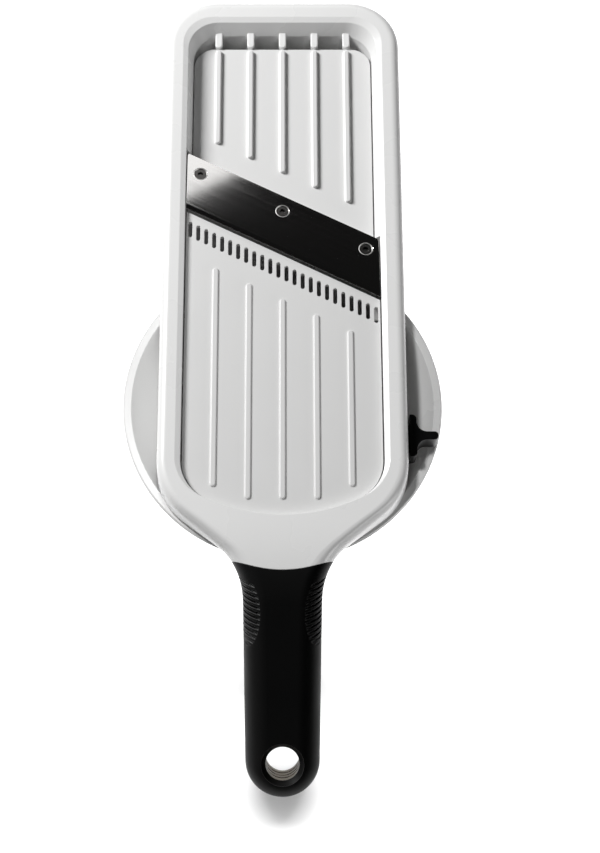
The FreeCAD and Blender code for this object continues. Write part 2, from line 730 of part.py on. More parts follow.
def fin_cuts():
    """Fins in a lens-shaped patch on each shoulder of the grip."""
    span = FIN_COUNT * FIN_PITCH
    lens_r = ((span / 2) ** 2 + FIN_DEPTH ** 2) / (2 * FIN_DEPTH)
    point, lean = spine_place(along_handle(FIN_S))
    up = Vector(0, -math.sin(lean), math.cos(lean))
    run = Vector(0, -math.cos(lean), -math.sin(lean))
    turn = math.radians(FIN_TURN)
    tools = []
    for side in (-1, 1):
        out = Vector(side, 0, 0)
        normal = out * math.cos(turn) + up * math.sin(turn)
        across = up * math.cos(turn) - out * math.sin(turn)
        shoulder = point + out * (side_half_width(point.y) - HANDLE_TOP_ROUND)
        shoulder += up * (HANDLE_T / 2 - HANDLE_TOP_ROUND)
        centre = shoulder + normal * (HANDLE_TOP_ROUND - FIN_DEPTH + lens_r)
        lens = Part.makeCylinder(lens_r, HANDLE_T * 2, centre - across * HANDLE_T, across)
        for i in range(FIN_COUNT):
            offset = (i - (FIN_COUNT - 1) / 2) * FIN_PITCH
            slit = Part.makeBox(HANDLE_T, FIN_CUT_W, HANDLE_T * 2)
            slit.translate(Vector(-HANDLE_T / 2, -FIN_CUT_W / 2, -HANDLE_T))
            slit.rotate(Vector(0, 0, 0), Vector(1, 0, 0), math.degrees(lean))
            slit.translate(shoulder + out * HANDLE_T / 2 + run * offset)
            slit.rotate(shoulder + normal * HANDLE_TOP_ROUND + run * offset, normal, side * FIN_SLANT)
            tools.append(slit.common(lens))
    return tools


def hole_tool(radius, length):
    point, up = hole_frame()
    return Part.makeCylinder(radius, length, point - up * (length / 2), up)


def hole_sinks():
    """Countersinks above and below the sleeve."""
    point, up = hole_frame()
    rise = (HANDLE_T - SLEEVE_L) / 2
    tools = []
    for way in (1, -1):
        base = point + up * (way * SLEEVE_L / 2)
        tools.append(Part.makeCone(HOLE_R, SINK_R, rise, base, up * way))
    return tools


def make_grip(body):
    """Black soft grip moulded over the tang."""
    black = body.common(beyond_join()).cut(tang())
    black = black.cut([hole_tool(SLEEVE_R, SLEEVE_L)] + hole_sinks())
    return black.cut(fin_cuts())


def make_hang_sleeve():
    """Metal sleeve that lines the hanging hole, with rings turned inside it."""
    sleeve = hole_tool(SLEEVE_R, SLEEVE_L).cut(hole_tool(HOLE_R, SLEEVE_L))
    point, up = hole_frame()
    pitch = SLEEVE_L / (RING_COUNT + 1)
    for i in range(RING_COUNT):
        base = point + up * ((i + 1) * pitch - SLEEVE_L / 2 - RING_W / 2)
        sleeve = sleeve.cut(Part.makeCylinder(HOLE_R + RING_GROOVE, RING_W, base, up))
    return sleeve


def edge_y(x):
    """Y of the cutting edge."""
    return BLADE_EDGE_Y - SLOPE * x


def on_blade(back, level, along=0.0):
    """Point placed by its distance behind the cutting edge, its height and its place along the edge."""
    turn = math.radians(BLADE_ANGLE)
    x = along * math.cos(turn) + back * math.sin(turn)
    y = BLADE_EDGE_Y - along * math.sin(turn) + back * math.cos(turn)
    return Vector(x, y, level)


def along_blade(profile, half_w):
    """Profile of (distance behind the edge, height) run along the blade and cut off square to X."""
    points = [on_blade(b, z, -SPREAD) for b, z in profile]
    face = Part.Face(Part.makePolygon(points + points[:1]))
    bar = face.extrude(on_blade(0, 0, SPREAD) - on_blade(0, 0, -SPREAD))
    return bar.common(block(-half_w, half_w, -SPREAD, SPREAD * 2, -SPREAD, SPREAD))


def blade_under(back):
    """Height of the blade's underside."""
    return depth(EDGE_DEPTH + back * TILT_TAN)


def blade_screw_axes():
    """Head centres on the blade's top and the direction the screws point up."""
    back = BLADE_W - BLADE_SCREW_BACK
    turn = math.radians(BLADE_ANGLE)
    tilt = math.radians(BLADE_TILT)
    up = Vector(math.sin(turn) * math.sin(tilt), math.cos(turn) * math.sin(tilt), math.cos(tilt))
    level = blade_under(back) + BLADE_T / math.cos(tilt)
    reach = TABLE_HALF_W - BLADE_SCREW_IN
    places = [(i * reach - back * math.sin(turn)) / math.cos(turn) for i in (-1, 0, 1)]
    return [on_blade(back, level, along) for along in places], up


def blade_screw_shape(centre, up):
    """Countersunk screw without its socket."""
    head = Part.makeCone(BLADE_HEAD_R, BLADE_SHANK_R, BLADE_HEAD_T, centre, up * -1)
    shank_l = BLADE_HEAD_T + INSERT_L
    return head.fuse(Part.makeCylinder(BLADE_SHANK_R, shank_l, centre, up * -1))


def make_blade():
    profile = [
        (0, blade_under(0)),
        (BLADE_BEVEL, blade_under(BLADE_BEVEL) + BLADE_T),
        (BLADE_W, blade_under(BLADE_W) + BLADE_T),
        (BLADE_W, blade_under(BLADE_W)),
    ]
    blade = along_blade(profile, OPEN_HALF_W - BLADE_END_GAP)
    centres, up = blade_screw_axes()
    return blade.cut([blade_screw_shape(c, up) for c in centres])


def make_blade_screws():
    centres, up = blade_screw_axes()
    screws = []
    for centre in centres:
        socket = Part.makeCylinder(SOCKET_R, SOCKET_T, centre, up * -1)
        screws.append(blade_screw_shape(centre, up).cut(socket))
    return Part.makeCompound(screws)


def insert_tools(inner):
    """Cylinders of the threaded inserts under the blade, or of their bores."""
    centres, up = blade_screw_axes()
    radius = BLADE_SHANK_R if inner else INSERT_R
    return [Part.makeCylinder(radius, INSERT_L, c - up * BLADE_HEAD_T, up * -1) for c in centres]


def make_blade_inserts():
    rings = [o.cut(i) for o, i in zip(insert_tools(False), insert_tools(True))]
    return Part.makeCompound(rings)


def deck_front(x, back):
    """Y of a line parallel to the cutting edge."""
    return edge_y(x) + back / math.cos(math.radians(BLADE_ANGLE))


def make_blade_deck():
    """Fixed deck with ribs and the leaning land that carries the blade."""
    w = DECK_HALF_W
    top = depth(DECK_DEPTH)
    under = deck_under()
    front = BLADE_W - LAND_W
    start = front + LAND_RAKE
    corners = [
        (-w, deck_front(-w, start)), (w, deck_front(w, start)), (w, DECK_FAR_Y), (-w, DECK_FAR_Y),
    ]
    deck = plate(corners, [0, 0, DECK_CORNER_R, DECK_CORNER_R], under, top)
    centres, up = blade_screw_axes()
    land = along_blade(
        [(front, blade_under(front)), (BLADE_W, blade_under(BLADE_W)), (BLADE_W, under), (start, under)],
        TABLE_HALF_W,
    )
    boss_l = BLADE_HEAD_T + INSERT_L + WALL / 2
    bosses = [Part.makeCylinder(INSERT_R + WALL, boss_l, c, up * -1) for c in centres]
    inside = along_blade(
        [(front, blade_under(front)), (BLADE_W, blade_under(BLADE_W)), (BLADE_W, 0), (front, 0)],
        TABLE_HALF_W,
    )
    parts = [deck, land] + [b.common(inside) for b in bosses]
    for x in rib_x():
        near = deck_front(x, BLADE_W) + DECK_RIB_GAP
        parts.append(rib(x, near, DECK_FAR_Y - RIB_SHY, RIB_W, under, top + DECK_RIB_H))
    for side, y in lug_places():
        parts.append(disc(BOSS_R, lug_screw_x(side), y, under - LUG_T, top))
    solid = merged(parts)
    cuts = [blade_screw_shape(c, up) for c in centres] + insert_tools(False)
    for side, y in lug_places():
        cuts.append(disc(DECK_SCREW_R, lug_screw_x(side), y, under - LUG_T, under + DECK_T / 2))
    return solid.cut(cuts)


def make_deck_screws():
    """Pan screws that hold the deck to the frame's ledges."""
    base = deck_under() - LUG_T
    screws = []
    for side, y in lug_places():
        x = lug_screw_x(side)
        head = disc(DECK_HEAD_R, x, y, base - DECK_HEAD_T, base)
        shank = disc(DECK_SCREW_R, x, y, base, base + LUG_T + DECK_T / 2)
        cross = disc(DECK_SCREW_R, x, y, base - DECK_HEAD_T, base - DECK_HEAD_T / 2)
        screws.append(head.fuse(shank).cut(cross))
    return Part.makeCompound(screws)


def table_wire(z):
    """Outline of the feeding table."""
    w = TABLE_HALF_W
    back = -BLADE_GAP
    right_far = Vector(w, deck_front(w, back), z)
    left_far = Vector(-w, deck_front(-w, back), z)
    right_low = Vector(w, CORNER_Y, z)
    left_low = Vector(-w, CORNER_Y, z)
    edges = outline_near(0, 0, z)
    edges += [line(left_low, left_far), line(left_far, right_far), line(right_far, right_low)]
    return Part.Wire(edges)


def make_feed_table():
    """Feeding table with ribs, a row of slots and ears for the lift pins."""
    under = depth(TABLE_DEPTH + TABLE_T)
    top = depth(TABLE_DEPTH)
    parts = [Part.Face(table_wire(under)).extrude(Vector(0, 0, TABLE_T))]
    middle = (RIB_COUNT - 1) / 2
    for i, x in enumerate(rib_x()):
        near = TABLE_END_Y + (TABLE_RIB_OUT if abs(i - middle) == middle else TABLE_RIB_IN)
        parts.append(rib(x, near, edge_y(x) - TABLE_RIB_FAR, RIB_W, under, top + TABLE_RIB_H))
    for side, y in pin_places():
        x0, x1 = sorted((side * (TABLE_HALF_W - EAR_T), side * TABLE_HALF_W))
        parts.append(block(x0, x1, y - EAR_W / 2, y + EAR_W / 2, depth(EAR_DEPTH), under))
    solid = merged(parts)
    cuts = []
    for i in range(SLOT_COUNT):
        x = (i - (SLOT_COUNT - 1) / 2) * SLOT_PITCH
        far = edge_y(x) - SLOT_BACK
        cuts.append(strip(x, far - SLOT_L, far, SLOT_W, under, top))
    cuts += pin_shapes()
    return solid.cut(cuts)


def pin_places():
    return [(side, y) for side in (-1, 1) for y in (PIN_NEAR_Y, PIN_FAR_Y)]


def pin_shapes():
    inner = TABLE_HALF_W - EAR_T
    length = BAR_OUT - PIN_SHY - inner
    pins = []
    for side, y in pin_places():
        start = Vector(side * inner, y, depth(PIN_DEPTH))
        pins.append(Part.makeCylinder(PIN_R, length, start, Vector(side, 0, 0)))
    return pins


def make_lift_pins():
    return Part.makeCompound(pin_shapes())


def cam_slot(side, y):
    """Slot in a bar that lowers its pin as the bar slides away."""
    high = Vector(0, y, depth(PIN_DEPTH))
    low = Vector(0, y - TRAVEL, depth(PIN_DEPTH + DROP))
    x0, x1 = sorted((side * BAR_IN, side * BAR_OUT))
    return round_slot(x0, x1, high, low, PIN_R + PIN_FIT)


def make_cam_bar(side):
    """Sliding bar with two sloping slots; the right one has a seat for the tab."""
    x0, x1 = sorted((side * BAR_IN, side * BAR_OUT))
    bar = block(x0, x1, BAR_NEAR_Y, BAR_FAR_Y, depth(BAR_BOTTOM), depth(BAR_TOP))
    bar = bar.cut([cam_slot(side, PIN_NEAR_Y), cam_slot(side, PIN_FAR_Y), link_screw(side)])
    if side < 0:
        return bar
    return merged([bar, neck_block(BAR_OUT, BAR_OUT + SEAT_T)]).cut(tongue())


def neck_block(x0, x1):
    """Stretch of the slider's neck across the rail."""
    half_l = NECK_L / 2
    half_h = NECK_H / 2
    middle = depth(TAB_DEPTH)
    return block(x0, x1, TAB_Y - half_l, TAB_Y + half_l, middle - half_h, middle + half_h)


def tongue():
    """End of the tab that is pressed into the right bar's seat."""
    middle = depth(TAB_DEPTH)
    start = BAR_OUT + SEAT_T - TONGUE_T
    return block(
        start, start + TONGUE_T, TAB_Y - TONGUE_L / 2, TAB_Y + TONGUE_L / 2,
        middle - TONGUE_H / 2, middle + TONGUE_H / 2,
    )


def tab_face_x():
    """Inner face of the tab's plate, clear of the leaning wall."""
    return FRAME_HALF_W + TAB_GAP


def make_slider_tab():
    """T-shaped thumb tab on the right side."""
    middle = depth(TAB_DEPTH)
    face = tab_face_x()
    outer = face + TAB_T
    tip = outer + STEM_REACH
    y0 = TAB_Y - TAB_L / 2
    y1 = TAB_Y + TAB_L / 2
    low = TAB_Y - STEM_T / 2
    high = TAB_Y + STEM_T / 2
    corners = [
        (face, y0), (outer, y0), (outer, low), (tip, low),
        (tip, high), (outer, high), (outer, y1), (face, y1),
    ]
    radii = [0, TAB_ROUND, STEM_FILLET, STEM_NOSE, STEM_NOSE, STEM_FILLET, TAB_ROUND, 0]
    tab = plate(corners, radii, middle - TAB_H / 2, middle + TAB_H / 2)
    return merged([tab, neck_block(BAR_OUT + SEAT_T, face), tongue()])


def link_screw(side):
    """Shank of a screw up through the link into a bar."""
    x = side * (BAR_IN + BAR_T / 2)
    base = depth(BAR_BOTTOM + LINK_T)
    return disc(LINK_SCREW_R, x, LINK_Y, base, base + LINK_SCREW_L)


def make_cam_link():
    """Strip under the table that makes both bars slide together."""
    low = depth(BAR_BOTTOM + LINK_T)
    strip = block(-BAR_OUT, BAR_OUT, LINK_Y - LINK_W / 2, LINK_Y + LINK_W / 2, low, depth(BAR_BOTTOM))
    return strip.cut([link_screw(-1), link_screw(1)])


def make_link_screws():
    return Part.makeCompound([link_screw(-1), link_screw(1)])


def make_detent_spring():
    """Bowed leaf on the right bar that clicks along the rail's roof."""
    x0 = BAR_IN + (BAR_T - SPRING_W) / 2
    z = depth(BAR_TOP)
    half = SPRING_L / 2
    near = Vector(x0, SPRING_Y - half, z)
    crest = Vector(x0, SPRING_Y, z + SPRING_RISE)
    far = Vector(x0, SPRING_Y + half, z)
    lift = Vector(0, 0, SPRING_T)
    edges = [
        arc(near, crest, far),
        line(far, far + lift),
        arc(far + lift, crest + lift, near + lift),
        line(near + lift, near),
    ]
    return Part.Face(Part.Wire(edges)).extrude(Vector(SPRING_W, 0, 0))


def make_rail_cover(side):
    """Strip that closes a rail's hollow from below."""
    x0, x1 = sorted((side * (HOLLOW_IN + COVER_FIT), side * (HOLLOW_OUT - COVER_FIT)))
    y0 = CORNER_Y - HOLLOW_NEAR + COVER_FIT
    y1 = HOLLOW_FAR_Y - COVER_FIT
    cover = block(x0, x1, y0, y1, depth(COVER_DEPTH + COVER_T), depth(COVER_DEPTH))
    holes = []
    for y in (COVER_POST_NEAR_Y, COVER_POST_FAR_Y):
        holes.append(cover_screw(side, y))
    return cover.cut(holes)


def cover_screw(side, y):
    """Screw through a cover into its post, with its head let in."""
    low = depth(COVER_DEPTH + COVER_T)
    x = cover_x(side)
    head = disc(COVER_HEAD_R, x, y, low, low + COVER_HEAD_T)
    return head.fuse(disc(COVER_SCREW_R, x, y, low, depth(COVER_DEPTH) + COVER_SCREW_L))


def make_cover_screws():
    screws = []
    for side in (-1, 1):
        for y in (COVER_POST_NEAR_Y, COVER_POST_FAR_Y):
            screws.append(cover_screw(side, y))
    return Part.makeCompound(screws)


def make_far_foot():
    """Soft strip pressed into the underside of the far end."""
    corners = rectangle(-FOOT_HALF_L, FOOT_HALF_L, FOOT_NEAR_Y, FOOT_NEAR_Y + FOOT_W)
    low = FRAME_BOTTOM - FOOT_PROUD
    return plate(corners, [FOOT_ROUND] * 4, low, low + FOOT_T)


def dish_arc(radius, z_top):
    """Radius at which a dish wall of this arc radius reaches a height."""
    centre_z = dish_centre_z()
    return DISH_FLOOR_R + math.sqrt(radius ** 2 - (centre_z - z_top) ** 2)


def dish_inner_r():
    """Arc of the dish from its floor to the flange."""
    run = HOLDER_R - FLANGE_W - DISH_FLOOR_R
    return (run ** 2 + DISH_DEPTH ** 2) / (2 * DISH_DEPTH)


def dish_centre_z():
    return FRAME_BOTTOM - DISH_DEPTH + dish_inner_r()


def dish_edge(radius, z_top):
    """Arc of a dish wall from its floor up to a height."""
    centre_z = dish_centre_z()
    end = Vector(dish_arc(radius, z_top), 0, z_top)
    sweep = math.asin((end.x - DISH_FLOOR_R) / radius) / 2
    middle = Vector(DISH_FLOOR_R + radius * math.sin(sweep), 0, centre_z - radius * math.cos(sweep))
    start = Vector(DISH_FLOOR_R, 0, centre_z - radius)
    return start, middle, end


def holder_floor():
    return FRAME_BOTTOM - DISH_DEPTH


def ring_places(count, radius):
    turns = [2 * math.pi * i / count for i in range(count)]
    return [(radius * math.cos(t), radius * math.sin(t)) for t in turns]


def make_holder_guard():
    """Round dished guard with its flange, runners and screw bosses."""
    top = FRAME_BOTTOM
    low_start, low_mid, low_end = dish_edge(dish_inner_r() + DISH_T, top - FLANGE_T)
    in_start, in_mid, in_end = dish_edge(dish_inner_r(), top)
    rim = [
        low_end,
        Vector(HOLDER_R - FLANGE_EDGE, 0, top - FLANGE_T),
        Vector(HOLDER_R, 0, top - FLANGE_T + FLANGE_EDGE),
        Vector(HOLDER_R, 0, top - FLANGE_EDGE),
        Vector(HOLDER_R - FLANGE_EDGE, 0, top),
        in_end,
    ]
    floor_low = Vector(0, 0, low_start.z)
    floor_top = Vector(0, 0, in_start.z)
    edges = [line(floor_low, low_start), arc(low_start, low_mid, low_end)]
    edges += [line(a, b) for a, b in zip(rim, rim[1:])]
    edges += [arc(in_end, in_mid, in_start), line(in_start, floor_top), line(floor_top, floor_low)]
    dish = turned_wire(edges)
    high = top + RUNNER_RISE
    start, mid, end = dish_edge(dish_inner_r() + DISH_T / 2, top)
    well = turned_wire([
        line(Vector(0, 0, start.z), start), arc(start, mid, end), line(end, Vector(end.x, 0, high)),
        line(Vector(end.x, 0, high), Vector(0, 0, high)), line(Vector(0, 0, high), Vector(0, 0, start.z)),
    ])
    parts = [dish]
    for side in (-1, 1):
        x0, x1 = sorted((side * RUNNER_OUT, side * (RUNNER_OUT - RUNNER_T)))
        parts.append(block(x0, x1, RUNNER_NEAR_Y, RUNNER_FAR_Y, 0, high).common(well))
    for x, y in ring_places(PRONG_SCREW_COUNT, PRONG_SCREW_RING):
        parts.append(disc(HOLDER_BOSS_R, x, y, low_start.z - HOLDER_BOSS_L, in_start.z))
    solid = merged(parts)
    holes = [disc(KNOB_SCREW_R, 0, 0, 0, in_start.z)]
    for x, y in ring_places(PRONG_SCREW_COUNT, PRONG_SCREW_RING):
        holes.append(disc(PRONG_SCREW_R, x, y, low_start.z - HOLDER_BOSS_L / 2, in_start.z))
    return solid.cut(holes)


def prong_places():
    return ring_places(PRONG_OUT_COUNT, PRONG_OUT_R) + ring_places(PRONG_IN_COUNT, PRONG_IN_R)


def make_prong_plate():
    """Plate on the dish floor that carries the prongs."""
    base = holder_floor()
    solid = disc(PRONG_PLATE_R, 0, 0, base, base + PRONG_PLATE_T)
    holes = [disc(KNOB_HEAD_R + BOSS_FIT, 0, 0, base, base + PRONG_PLATE_T)]
    for x, y in ring_places(PRONG_SCREW_COUNT, PRONG_SCREW_RING):
        holes.append(disc(PRONG_SCREW_R, x, y, base, base + PRONG_PLATE_T))
    for x, y in prong_places():
        holes.append(disc(PRONG_R, x, y, base, base + PRONG_PLATE_T))
    return solid.cut(holes)


def make_prongs():
    base = holder_floor()
    shaft = PRONG_L - PRONG_TIP
    pins = []
    for x, y in prong_places():
        pin = disc(PRONG_R, x, y, base, base + shaft)
        tip = Part.makeCone(PRONG_R, PRONG_POINT_R, PRONG_TIP, Vector(x, y, base + shaft))
        pins.append(pin.fuse(tip))
    return Part.makeCompound(pins)


def make_prong_screws():
    base = holder_floor() + PRONG_PLATE_T
    reach = PRONG_PLATE_T + DISH_T + HOLDER_BOSS_L / 2
    screws = []
    for x, y in ring_places(PRONG_SCREW_COUNT, PRONG_SCREW_RING):
        head = disc(PRONG_HEAD_R, x, y, base, base + PRONG_HEAD_T)
        screws.append(head.fuse(disc(PRONG_SCREW_R, x, y, base - reach, base)))
    return Part.makeCompound(screws)


def knob_top():
    return holder_floor() - DISH_T


def make_knob_core():
    """White neck of the knob, screwed to the guard."""
    top = knob_top()
    low = KNOB_CAP_H
    waist = (top + low) / 2
    solid = turned([
        (0, low - SPIGOT_L), (SPIGOT_R, low - SPIGOT_L), (SPIGOT_R, low), (KNOB_CORE_R, low),
        (KNOB_NECK_R, waist), (KNOB_FLANGE_R, top), (0, top),
    ])
    return solid.cut(disc(KNOB_SCREW_R, 0, 0, top - KNOB_SCREW_L + DISH_T, top))


def make_knob_cap():
    """Soft cap that the hand holds and the stored holder stands on."""
    r = KNOB_CAP_R
    e = KNOB_CAP_ROUND
    k = e * math.sqrt(0.5)
    h = KNOB_CAP_H
    foot = Vector(r - e, 0, 0)
    edges = [
        line(Vector(0, 0, 0), foot),
        arc(foot, Vector(r - e + k, 0, e - k), Vector(r, 0, e)),
        line(Vector(r, 0, e), Vector(r, 0, h - e)),
        arc(Vector(r, 0, h - e), Vector(r - e + k, 0, h - e + k), Vector(r - e, 0, h)),
        line(Vector(r - e, 0, h), Vector(SPIGOT_R, 0, h)),
        line(Vector(SPIGOT_R, 0, h), Vector(SPIGOT_R, 0, h - SPIGOT_L)),
        line(Vector(SPIGOT_R, 0, h - SPIGOT_L), Vector(0, 0, h - SPIGOT_L)),
        line(Vector(0, 0, h - SPIGOT_L), Vector(0, 0, 0)),
    ]
    return turned_wire(edges)


def make_knob_screw():
    base = holder_floor()
    head = disc(KNOB_HEAD_R, 0, 0, base, base + KNOB_HEAD_T)
    return head.fuse(disc(KNOB_SCREW_R, 0, 0, base - KNOB_SCREW_L, base))


def main():
    body = handle_body()
    nodes = {
        "frame": make_frame(body),
        "grip": make_grip(body),
        "hang_sleeve": make_hang_sleeve(),
        "blade_deck": make_blade_deck(),
        "deck_screws": make_deck_screws(),
        "blade": make_blade(),
        "blade_screws": make_blade_screws(),
        "blade_inserts": make_blade_inserts(),
        "left_rail_cover": make_rail_cover(-1),
        "right_rail_cover": make_rail_cover(1),
        "cover_screws": make_cover_screws(),
        "far_foot": make_far_foot(),
        "feed_table": make_feed_table(),
        "lift_pins": make_lift_pins(),
        "left_cam_bar": make_cam_bar(-1),
        "right_cam_bar": make_cam_bar(1),
        "cam_link": make_cam_link(),
        "link_screws": make_link_screws(),
        "slider_tab": make_slider_tab(),
        "detent_spring": make_detent_spring(),
        "holder_guard": make_holder_guard(),
        "prong_plate": make_prong_plate(),
        "prongs": make_prongs(),
        "prong_screws": make_prong_screws(),
        "knob_core": make_knob_core(),
        "knob_cap": make_knob_cap(),
        "knob_screw": make_knob_screw(),
    }
    os.makedirs("parts", exist_ok=True)
    for name, shape in nodes.items():
        shape.exportStep("parts/" + name + ".step")
        print(name, "solids", len(shape.Solids), "valid", shape.isValid(), "volume", round(shape.Volume, 1))


main()
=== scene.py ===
import json
import math

import bmesh
import bpy
from bpy.props import FloatProperty, FloatVectorProperty, IntProperty, PointerProperty
from mathutils import Matrix, Vector

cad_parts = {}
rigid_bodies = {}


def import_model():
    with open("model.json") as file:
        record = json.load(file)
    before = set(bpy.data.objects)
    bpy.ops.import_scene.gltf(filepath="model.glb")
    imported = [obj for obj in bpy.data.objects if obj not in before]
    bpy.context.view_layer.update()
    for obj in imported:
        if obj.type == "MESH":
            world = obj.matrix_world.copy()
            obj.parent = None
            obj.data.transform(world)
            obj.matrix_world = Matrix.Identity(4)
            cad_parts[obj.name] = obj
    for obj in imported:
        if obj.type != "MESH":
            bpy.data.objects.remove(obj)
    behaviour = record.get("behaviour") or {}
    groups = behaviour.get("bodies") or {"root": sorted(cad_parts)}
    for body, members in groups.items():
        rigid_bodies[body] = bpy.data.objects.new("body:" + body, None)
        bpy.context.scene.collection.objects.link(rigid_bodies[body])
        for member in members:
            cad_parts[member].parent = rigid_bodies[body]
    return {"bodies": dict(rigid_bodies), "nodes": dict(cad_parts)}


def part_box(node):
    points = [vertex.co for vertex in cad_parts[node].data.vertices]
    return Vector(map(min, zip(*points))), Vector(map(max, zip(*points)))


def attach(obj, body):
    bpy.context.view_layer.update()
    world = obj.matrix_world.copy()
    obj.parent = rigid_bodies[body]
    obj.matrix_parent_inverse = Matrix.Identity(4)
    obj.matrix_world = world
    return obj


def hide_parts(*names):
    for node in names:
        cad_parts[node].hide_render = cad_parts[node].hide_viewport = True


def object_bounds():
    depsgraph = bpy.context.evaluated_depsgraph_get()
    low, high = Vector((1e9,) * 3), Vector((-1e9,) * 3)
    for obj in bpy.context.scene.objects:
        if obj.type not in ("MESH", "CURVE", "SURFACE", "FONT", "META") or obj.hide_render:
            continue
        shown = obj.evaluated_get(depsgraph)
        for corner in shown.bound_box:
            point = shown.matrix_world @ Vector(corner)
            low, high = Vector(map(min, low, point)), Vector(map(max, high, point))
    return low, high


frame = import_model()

bl_info = {
    "name": "Mandoline slicer",
    "version": (1, 0, 0),
    "blender": (4, 5, 0),
    "location": "3D View > Sidebar > Slicer",
    "description": "Finishes, blade screws, thickness scale and studio of a hand-held mandoline slicer",
    "category": "Object",
}

for startup_object in list(bpy.data.objects):
    if startup_object not in frame["nodes"].values() and startup_object not in frame["bodies"].values():
        bpy.data.objects.remove(startup_object)

CAD_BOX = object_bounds()
NODES = frame["nodes"]
MM = 0.001
MERGE_DIST = 0.001 * MM


# Blade as it lies in the frame

BLADE_TURN = math.radians(26.5)   # cutting edge against X
BLADE_TILT = math.radians(8.0)    # falls away from the cutting edge
BLADE_EDGE_Y = 72.1 * MM          # cutting edge at the middle
BLADE_W = 28.4 * MM               # seen from above
BLADE_SCREW_BACK = 7.9 * MM       # screws from the back edge


# Sizes and colours


class FinishSettings(bpy.types.PropertyGroup):
    """Colours of the slicer's plastics and metals."""

    white: FloatVectorProperty(
        name="White moulding", description="Frame, rail covers, deck and table", subtype="COLOR",
        default=(0.80, 0.80, 0.795), min=0.0, max=1.0,
    )
    holder_white: FloatVectorProperty(
        name="Holder moulding", description="Round food holder under the slicer", subtype="COLOR",
        default=(0.76, 0.76, 0.755), min=0.0, max=1.0,
    )
    soft_black: FloatVectorProperty(
        name="Soft black", description="Grip, knob cap and foot", subtype="COLOR",
        default=(0.0065, 0.0065, 0.0065), min=0.0, max=1.0,
    )
    tab_black: FloatVectorProperty(
        name="Tab black", description="Thumb tab of the slider", subtype="COLOR",
        default=(0.003, 0.003, 0.003), min=0.0, max=1.0,
    )
    blade: FloatVectorProperty(
        name="Blade steel", description="Brushed steel of the blade", subtype="COLOR",
        default=(0.62, 0.61, 0.60), min=0.0, max=1.0,
    )
    screw: FloatVectorProperty(
        name="Screw steel", description="Hidden screws, pins, prongs and spring", subtype="COLOR",
        default=(0.58, 0.57, 0.56), min=0.0, max=1.0,
    )
    screw_dark: FloatVectorProperty(
        name="Screw head", description="Dark face of the blade's screws", subtype="COLOR",
        default=(0.13, 0.125, 0.12), min=0.0, max=1.0,
    )
    # painted highlight: the rim's bright colour stands in for the lights a turned bead would catch all round
    screw_rim_highlight: FloatVectorProperty(
        name="Screw rim", description="Bright turned rim of the blade's screws", subtype="COLOR",
        default=(0.85, 0.84, 0.82), min=0.0, max=1.0,
    )
    sleeve: FloatVectorProperty(
        name="Sleeve steel", description="Sleeve of the hanging hole", subtype="COLOR",
        default=(0.20, 0.18, 0.15), min=0.0, max=1.0,
    )
    brass: FloatVectorProperty(
        name="Insert brass", description="Threaded inserts under the blade", subtype="COLOR",
        default=(0.62, 0.44, 0.17), min=0.0, max=1.0,
    )
    bar_grey: FloatVectorProperty(
        name="Bar plastic", description="Sliding bars and their link", subtype="COLOR",
        default=(0.42, 0.42, 0.41), min=0.0, max=1.0,
    )
    print_grey: FloatVectorProperty(
        name="Scale print", description="Marks and figures of the thickness scale", subtype="COLOR",
        default=(0.035, 0.035, 0.037), min=0.0, max=1.0,
    )


class ScrewSettings(bpy.types.PropertyGroup):
    """Countersunk screws that hold the blade."""

    head_r: FloatProperty(
        name="Head radius", description="Radius of the head's rim", default=3.6 * MM, unit="LENGTH",
    )
    head_t: FloatProperty(
        name="Head depth", description="Depth of the countersunk head", default=1.8 * MM, unit="LENGTH",
    )
    # the rim's brightness is a painted highlight given by the screws' finish
    rim_w: FloatProperty(
        name="Rim width", description="Width of the bright turned rim", default=0.35 * MM, unit="LENGTH",
    )
    rim_slope: FloatProperty(
        name="Rim slope", description="Fall of the rim to its outer edge, as a share of its width",
        default=0.3, min=0.0, max=1.0, subtype="FACTOR",
    )
    dish_depth: FloatProperty(
        name="Dish depth", description="How far the head's face sinks inside the rim", default=0.45 * MM,
        unit="LENGTH",
    )
    socket_r: FloatProperty(
        name="Socket radius", description="Corner radius of the six-sided socket", default=1.5 * MM,
        unit="LENGTH",
    )
    socket_depth: FloatProperty(
        name="Socket depth", description="Depth of the socket below the head's face", default=0.9 * MM,
        unit="LENGTH",
    )
    shank_r: FloatProperty(
        name="Shank radius", description="Radius of the screw's shank", default=1.5 * MM, unit="LENGTH",
    )
    shank_l: FloatProperty(
        name="Screw length", description="Length below the head's rim", default=5.8 * MM, unit="LENGTH",
    )


class ScaleSettings(bpy.types.PropertyGroup):
    """Thickness scale printed on the right wall."""

    first_y: FloatProperty(
        name="First mark", description="Place of the thinnest setting along the slicer", default=-20.7 * MM,
        unit="LENGTH",
    )
    step: FloatProperty(
        name="Step", description="Travel of the tab from one setting to the next", default=10.6 * MM,
        unit="LENGTH",
    )
    settings: IntProperty(name="Settings", description="Number of settings", default=4, min=2, max=8)
    unit_y: FloatProperty(
        name="Unit place", description="Place of the unit along the slicer", default=35.4 * MM, unit="LENGTH",
    )
    figure_h: FloatProperty(
        name="Figure height", description="Height of the figures", default=2.4 * MM, unit="LENGTH",
    )
    figure_shift: FloatProperty(
        name="Figure place", description="From a mark to its figure", default=3.9 * MM, unit="LENGTH",
    )
    mark_w: FloatProperty(
        name="Mark width", description="Width of a mark", default=0.5 * MM, unit="LENGTH",
    )
    middle_z: FloatProperty(
        name="Height", description="Height of the scale above the ground", default=55.0 * MM, unit="LENGTH",
    )
    proud: FloatProperty(
        name="Print thickness", description="How far the print stands proud", default=0.06 * MM,
        unit="LENGTH",
    )


